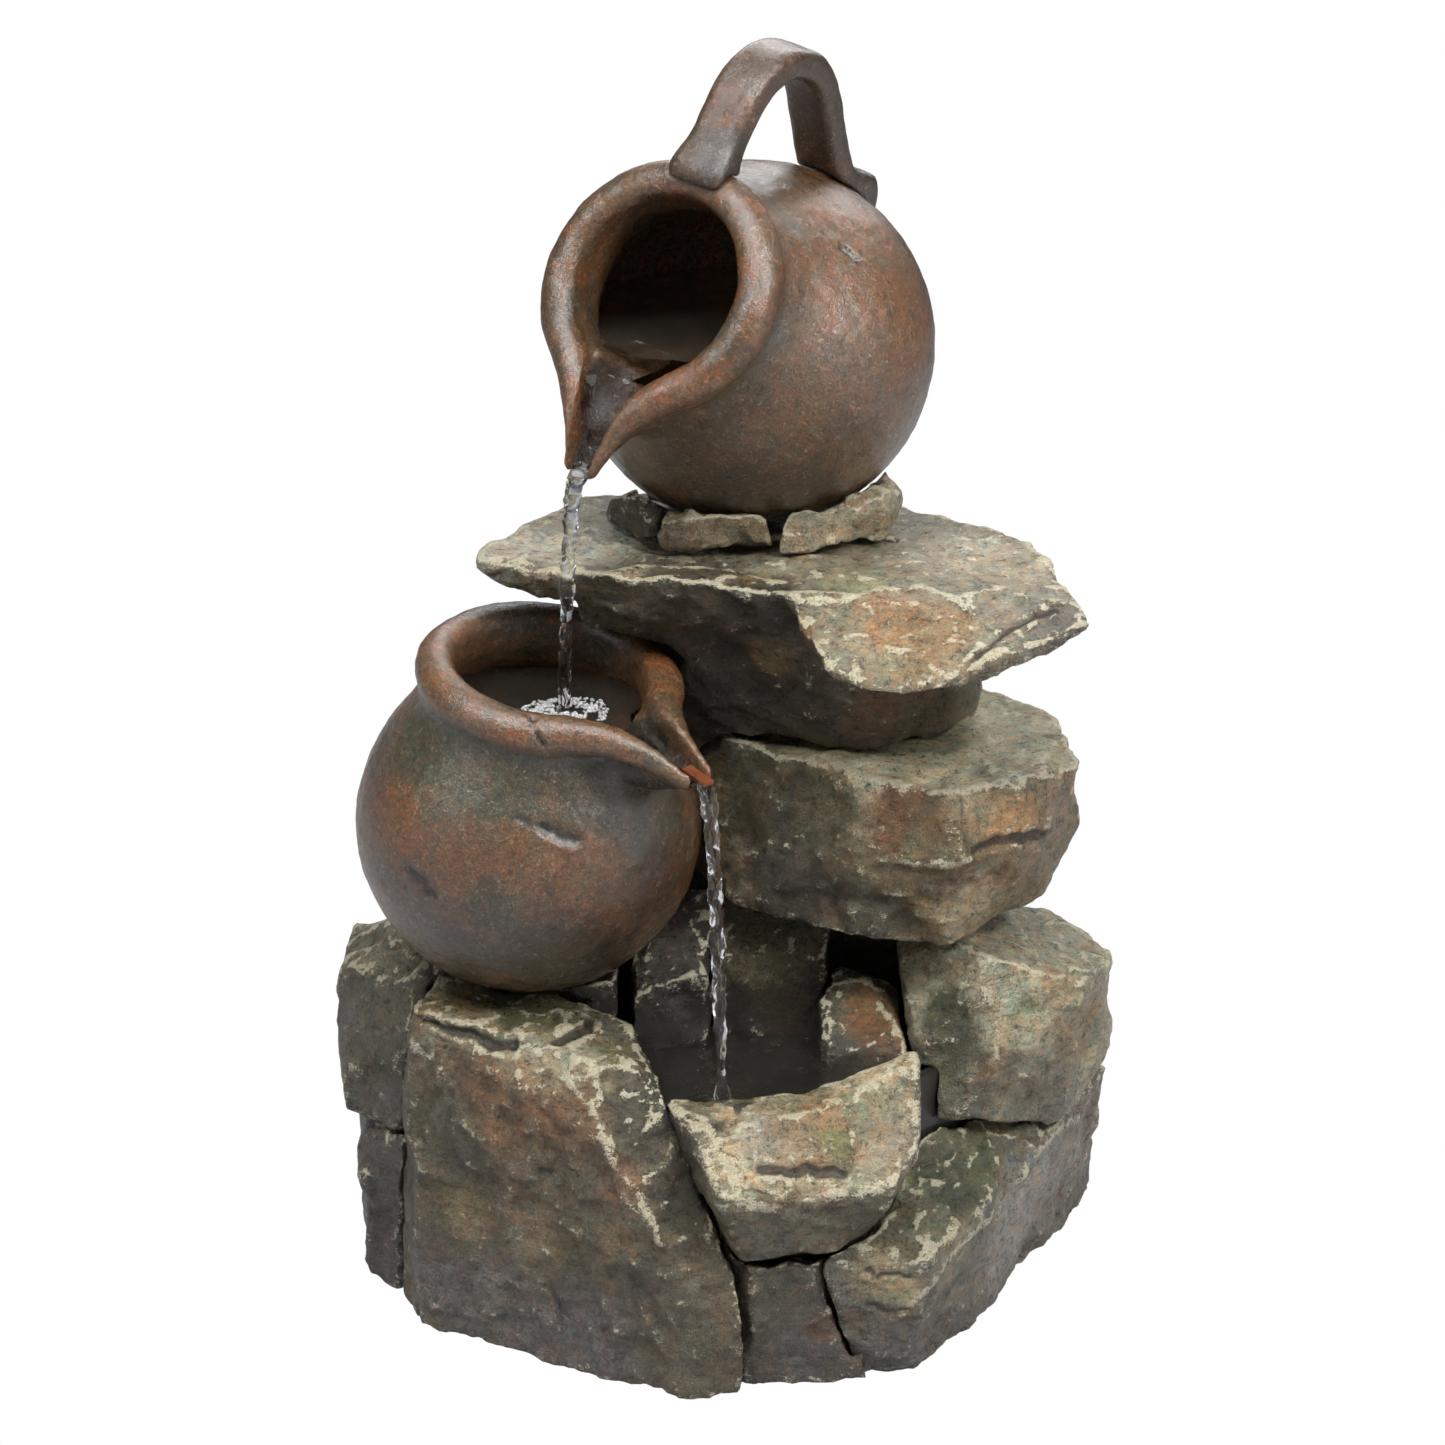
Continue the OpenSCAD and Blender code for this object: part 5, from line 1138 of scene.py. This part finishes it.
def housing_material():
    """The back housing and its door: cast resin painted as dark stone."""
    s = Shader("housing_stone", Specular_IOR_Level=0.45)
    broad, fine = s.noise(14, 7, 0.68, distortion=0.5), s.noise(1.6, 6, 0.74, distortion=1.2)
    layers = s.noise(7, 6, 0.7, stretch=(0.8, 0.8, 1.3), distortion=0.5)
    tone = s.math("ADD", s.ramp(broad, 0.3, 0.7, 0.65, 1.25), s.ramp(fine, 0.3, 0.7, -0.25, 0.28))
    height = s.sum((broad, 3.0), (layers, 1.6), (fine, 1.0))
    color = s.times((0.135, 0.118, 0.088), s.grey(tone))
    color = s.over(color, s.ramp(s.noise(24, 5, 0.6), 0.52, 0.64), (0.20, 0.10, 0.045), 0.5)
    color = s.over(color, s.ramp(s.noise(19, 5, 0.6), 0.55, 0.66), (0.07, 0.085, 0.035), 0.5)
    color = s.over(color, s.ramp(layers, 0.58, 0.68), (0.040, 0.034, 0.025), 0.5)
    color = s.over(color, s.ramp(height, 3.06, 3.34), (0.40, 0.37, 0.27), 0.4)
    return s.finish(color, s.ramp(broad, 0.3, 0.7, 0.40, 0.62), s.bump(height, 1.0, 0.7))


plain["housing_resin"] = housing_material()
# nodes that the skins made above stand in for, besides the stones
REPLACED = ("column_rock", "neck_rock", "upper_jug", "lower_jug", "upper_handle")
tongue_red = moulded("tongue_red", (0.125, 0.036, 0.014), 0.28, 1.2, 0.06, 0.0, 0.6)
for name, obj in nodes.items():
    if obj.type == "MESH" and name not in STONES and name not in REPLACED:
        finish = tongue_red if slot_of[name] == "tongue_orange" else plain[slot_of[name]]
        obj.data.materials.clear()
        obj.data.materials.append(finish)


# ---- Floor, light and camera -----------------------------------------------------------------------

def white_to_camera(tree, shader, white_kind, output):
    """Puts plain white in a shader's place for the camera's own rays."""
    white, choose = tree.nodes.new(white_kind), tree.nodes.new("ShaderNodeMixShader")
    white.inputs["Color"].default_value = (1, 1, 1, 1)
    path = tree.nodes.new("ShaderNodeLightPath")
    tree.links.new(path.outputs["Is Camera Ray"], choose.inputs[0])
    tree.links.new(shader.outputs[0], choose.inputs[1])
    tree.links.new(white.outputs[0], choose.inputs[2])
    tree.links.new(choose.outputs[0], tree.nodes[output].inputs["Surface"])


def backdrop():
    """A plain pale floor, shown as clean white to the camera."""
    s = Shader("floor_white", Base_Color=(0.36, 0.36, 0.37, 1), Roughness=0.9)
    white_to_camera(s.mat.node_tree, s.bsdf, "ShaderNodeEmission", "Material Output")
    mesh = bpy.data.meshes.new("floor")
    half = 3.0
    mesh.from_pydata([(x * half, y * half, 0) for x, y in ((-1, -1), (1, -1), (1, 1), (-1, 1))], [],
                     [(0, 1, 2, 3)])
    floor = placed("floor", mesh)
    mesh.materials.append(s.mat)


LAMPS = {
    # place in m, width and height in m, watts
    "top_box": ((-0.15, -0.15, 1.20), (0.7, 0.5), 6.8),
    "front_strip": ((0.04, -0.47, 1.18), (0.5, 0.12), 3.2),
    "key_left": ((-0.55, -0.52, 1.20), (0.22, 0.22), 7.0),
    "fill_left": ((-1.1, -0.7, 0.55), (0.3, 0.9), 2.5),
    "key_right": ((0.62, -0.55, 0.93), (0.28, 0.28), 10.0),
    "fill_right": ((1.1, -0.5, 0.45), (0.3, 0.9), 4.5),
    "rim_back": ((0.2, 1.0, 0.8), (0.9, 0.5), 4.5),
}


def lamp(name, place, size, watts):
    """A rectangular lamp that points at the middle of the fountain."""
    light = bpy.data.lights.new(name, "AREA")
    light.shape = "RECTANGLE"
    light.size, light.size_y = size
    light.energy = watts
    obj = placed(name, light)
    obj.location = place
    middle = Vector((0, 0, 0.2))
    obj.rotation_euler = (middle - Vector(place)).to_track_quat("-Z", "Y").to_euler()


def light_up():
    world = bpy.data.worlds.new("studio")
    bpy.context.scene.world = world
    world.use_nodes = True
    sky = world.node_tree.nodes["Background"]
    sky.inputs["Color"].default_value = (0.9, 0.93, 1.0, 1)
    sky.inputs["Strength"].default_value = 0.11
    white_to_camera(world.node_tree, sky, "ShaderNodeBackground", "World Output")
    for name, (place, size, watts) in LAMPS.items():
        lamp(name, place, size, watts)


def camera():
    """120 mm lens, 21 degrees above the level, 1.45 m from the middle of the fountain."""
    target = Vector((0, -0.025, 0.195))
    rise = math.radians(21)
    cam = bpy.data.cameras.new("camera")
    cam.lens, cam.sensor_width = 120, 36
    obj = placed("camera", cam)
    obj.location = target + 1.45 * Vector((0, -math.cos(rise), math.sin(rise)))
    obj.rotation_euler = (math.pi / 2 - rise, 0, 0)
    bpy.context.scene.camera = obj
    bpy.context.scene.view_settings.view_transform = "Standard"


backdrop()
light_up()
camera()
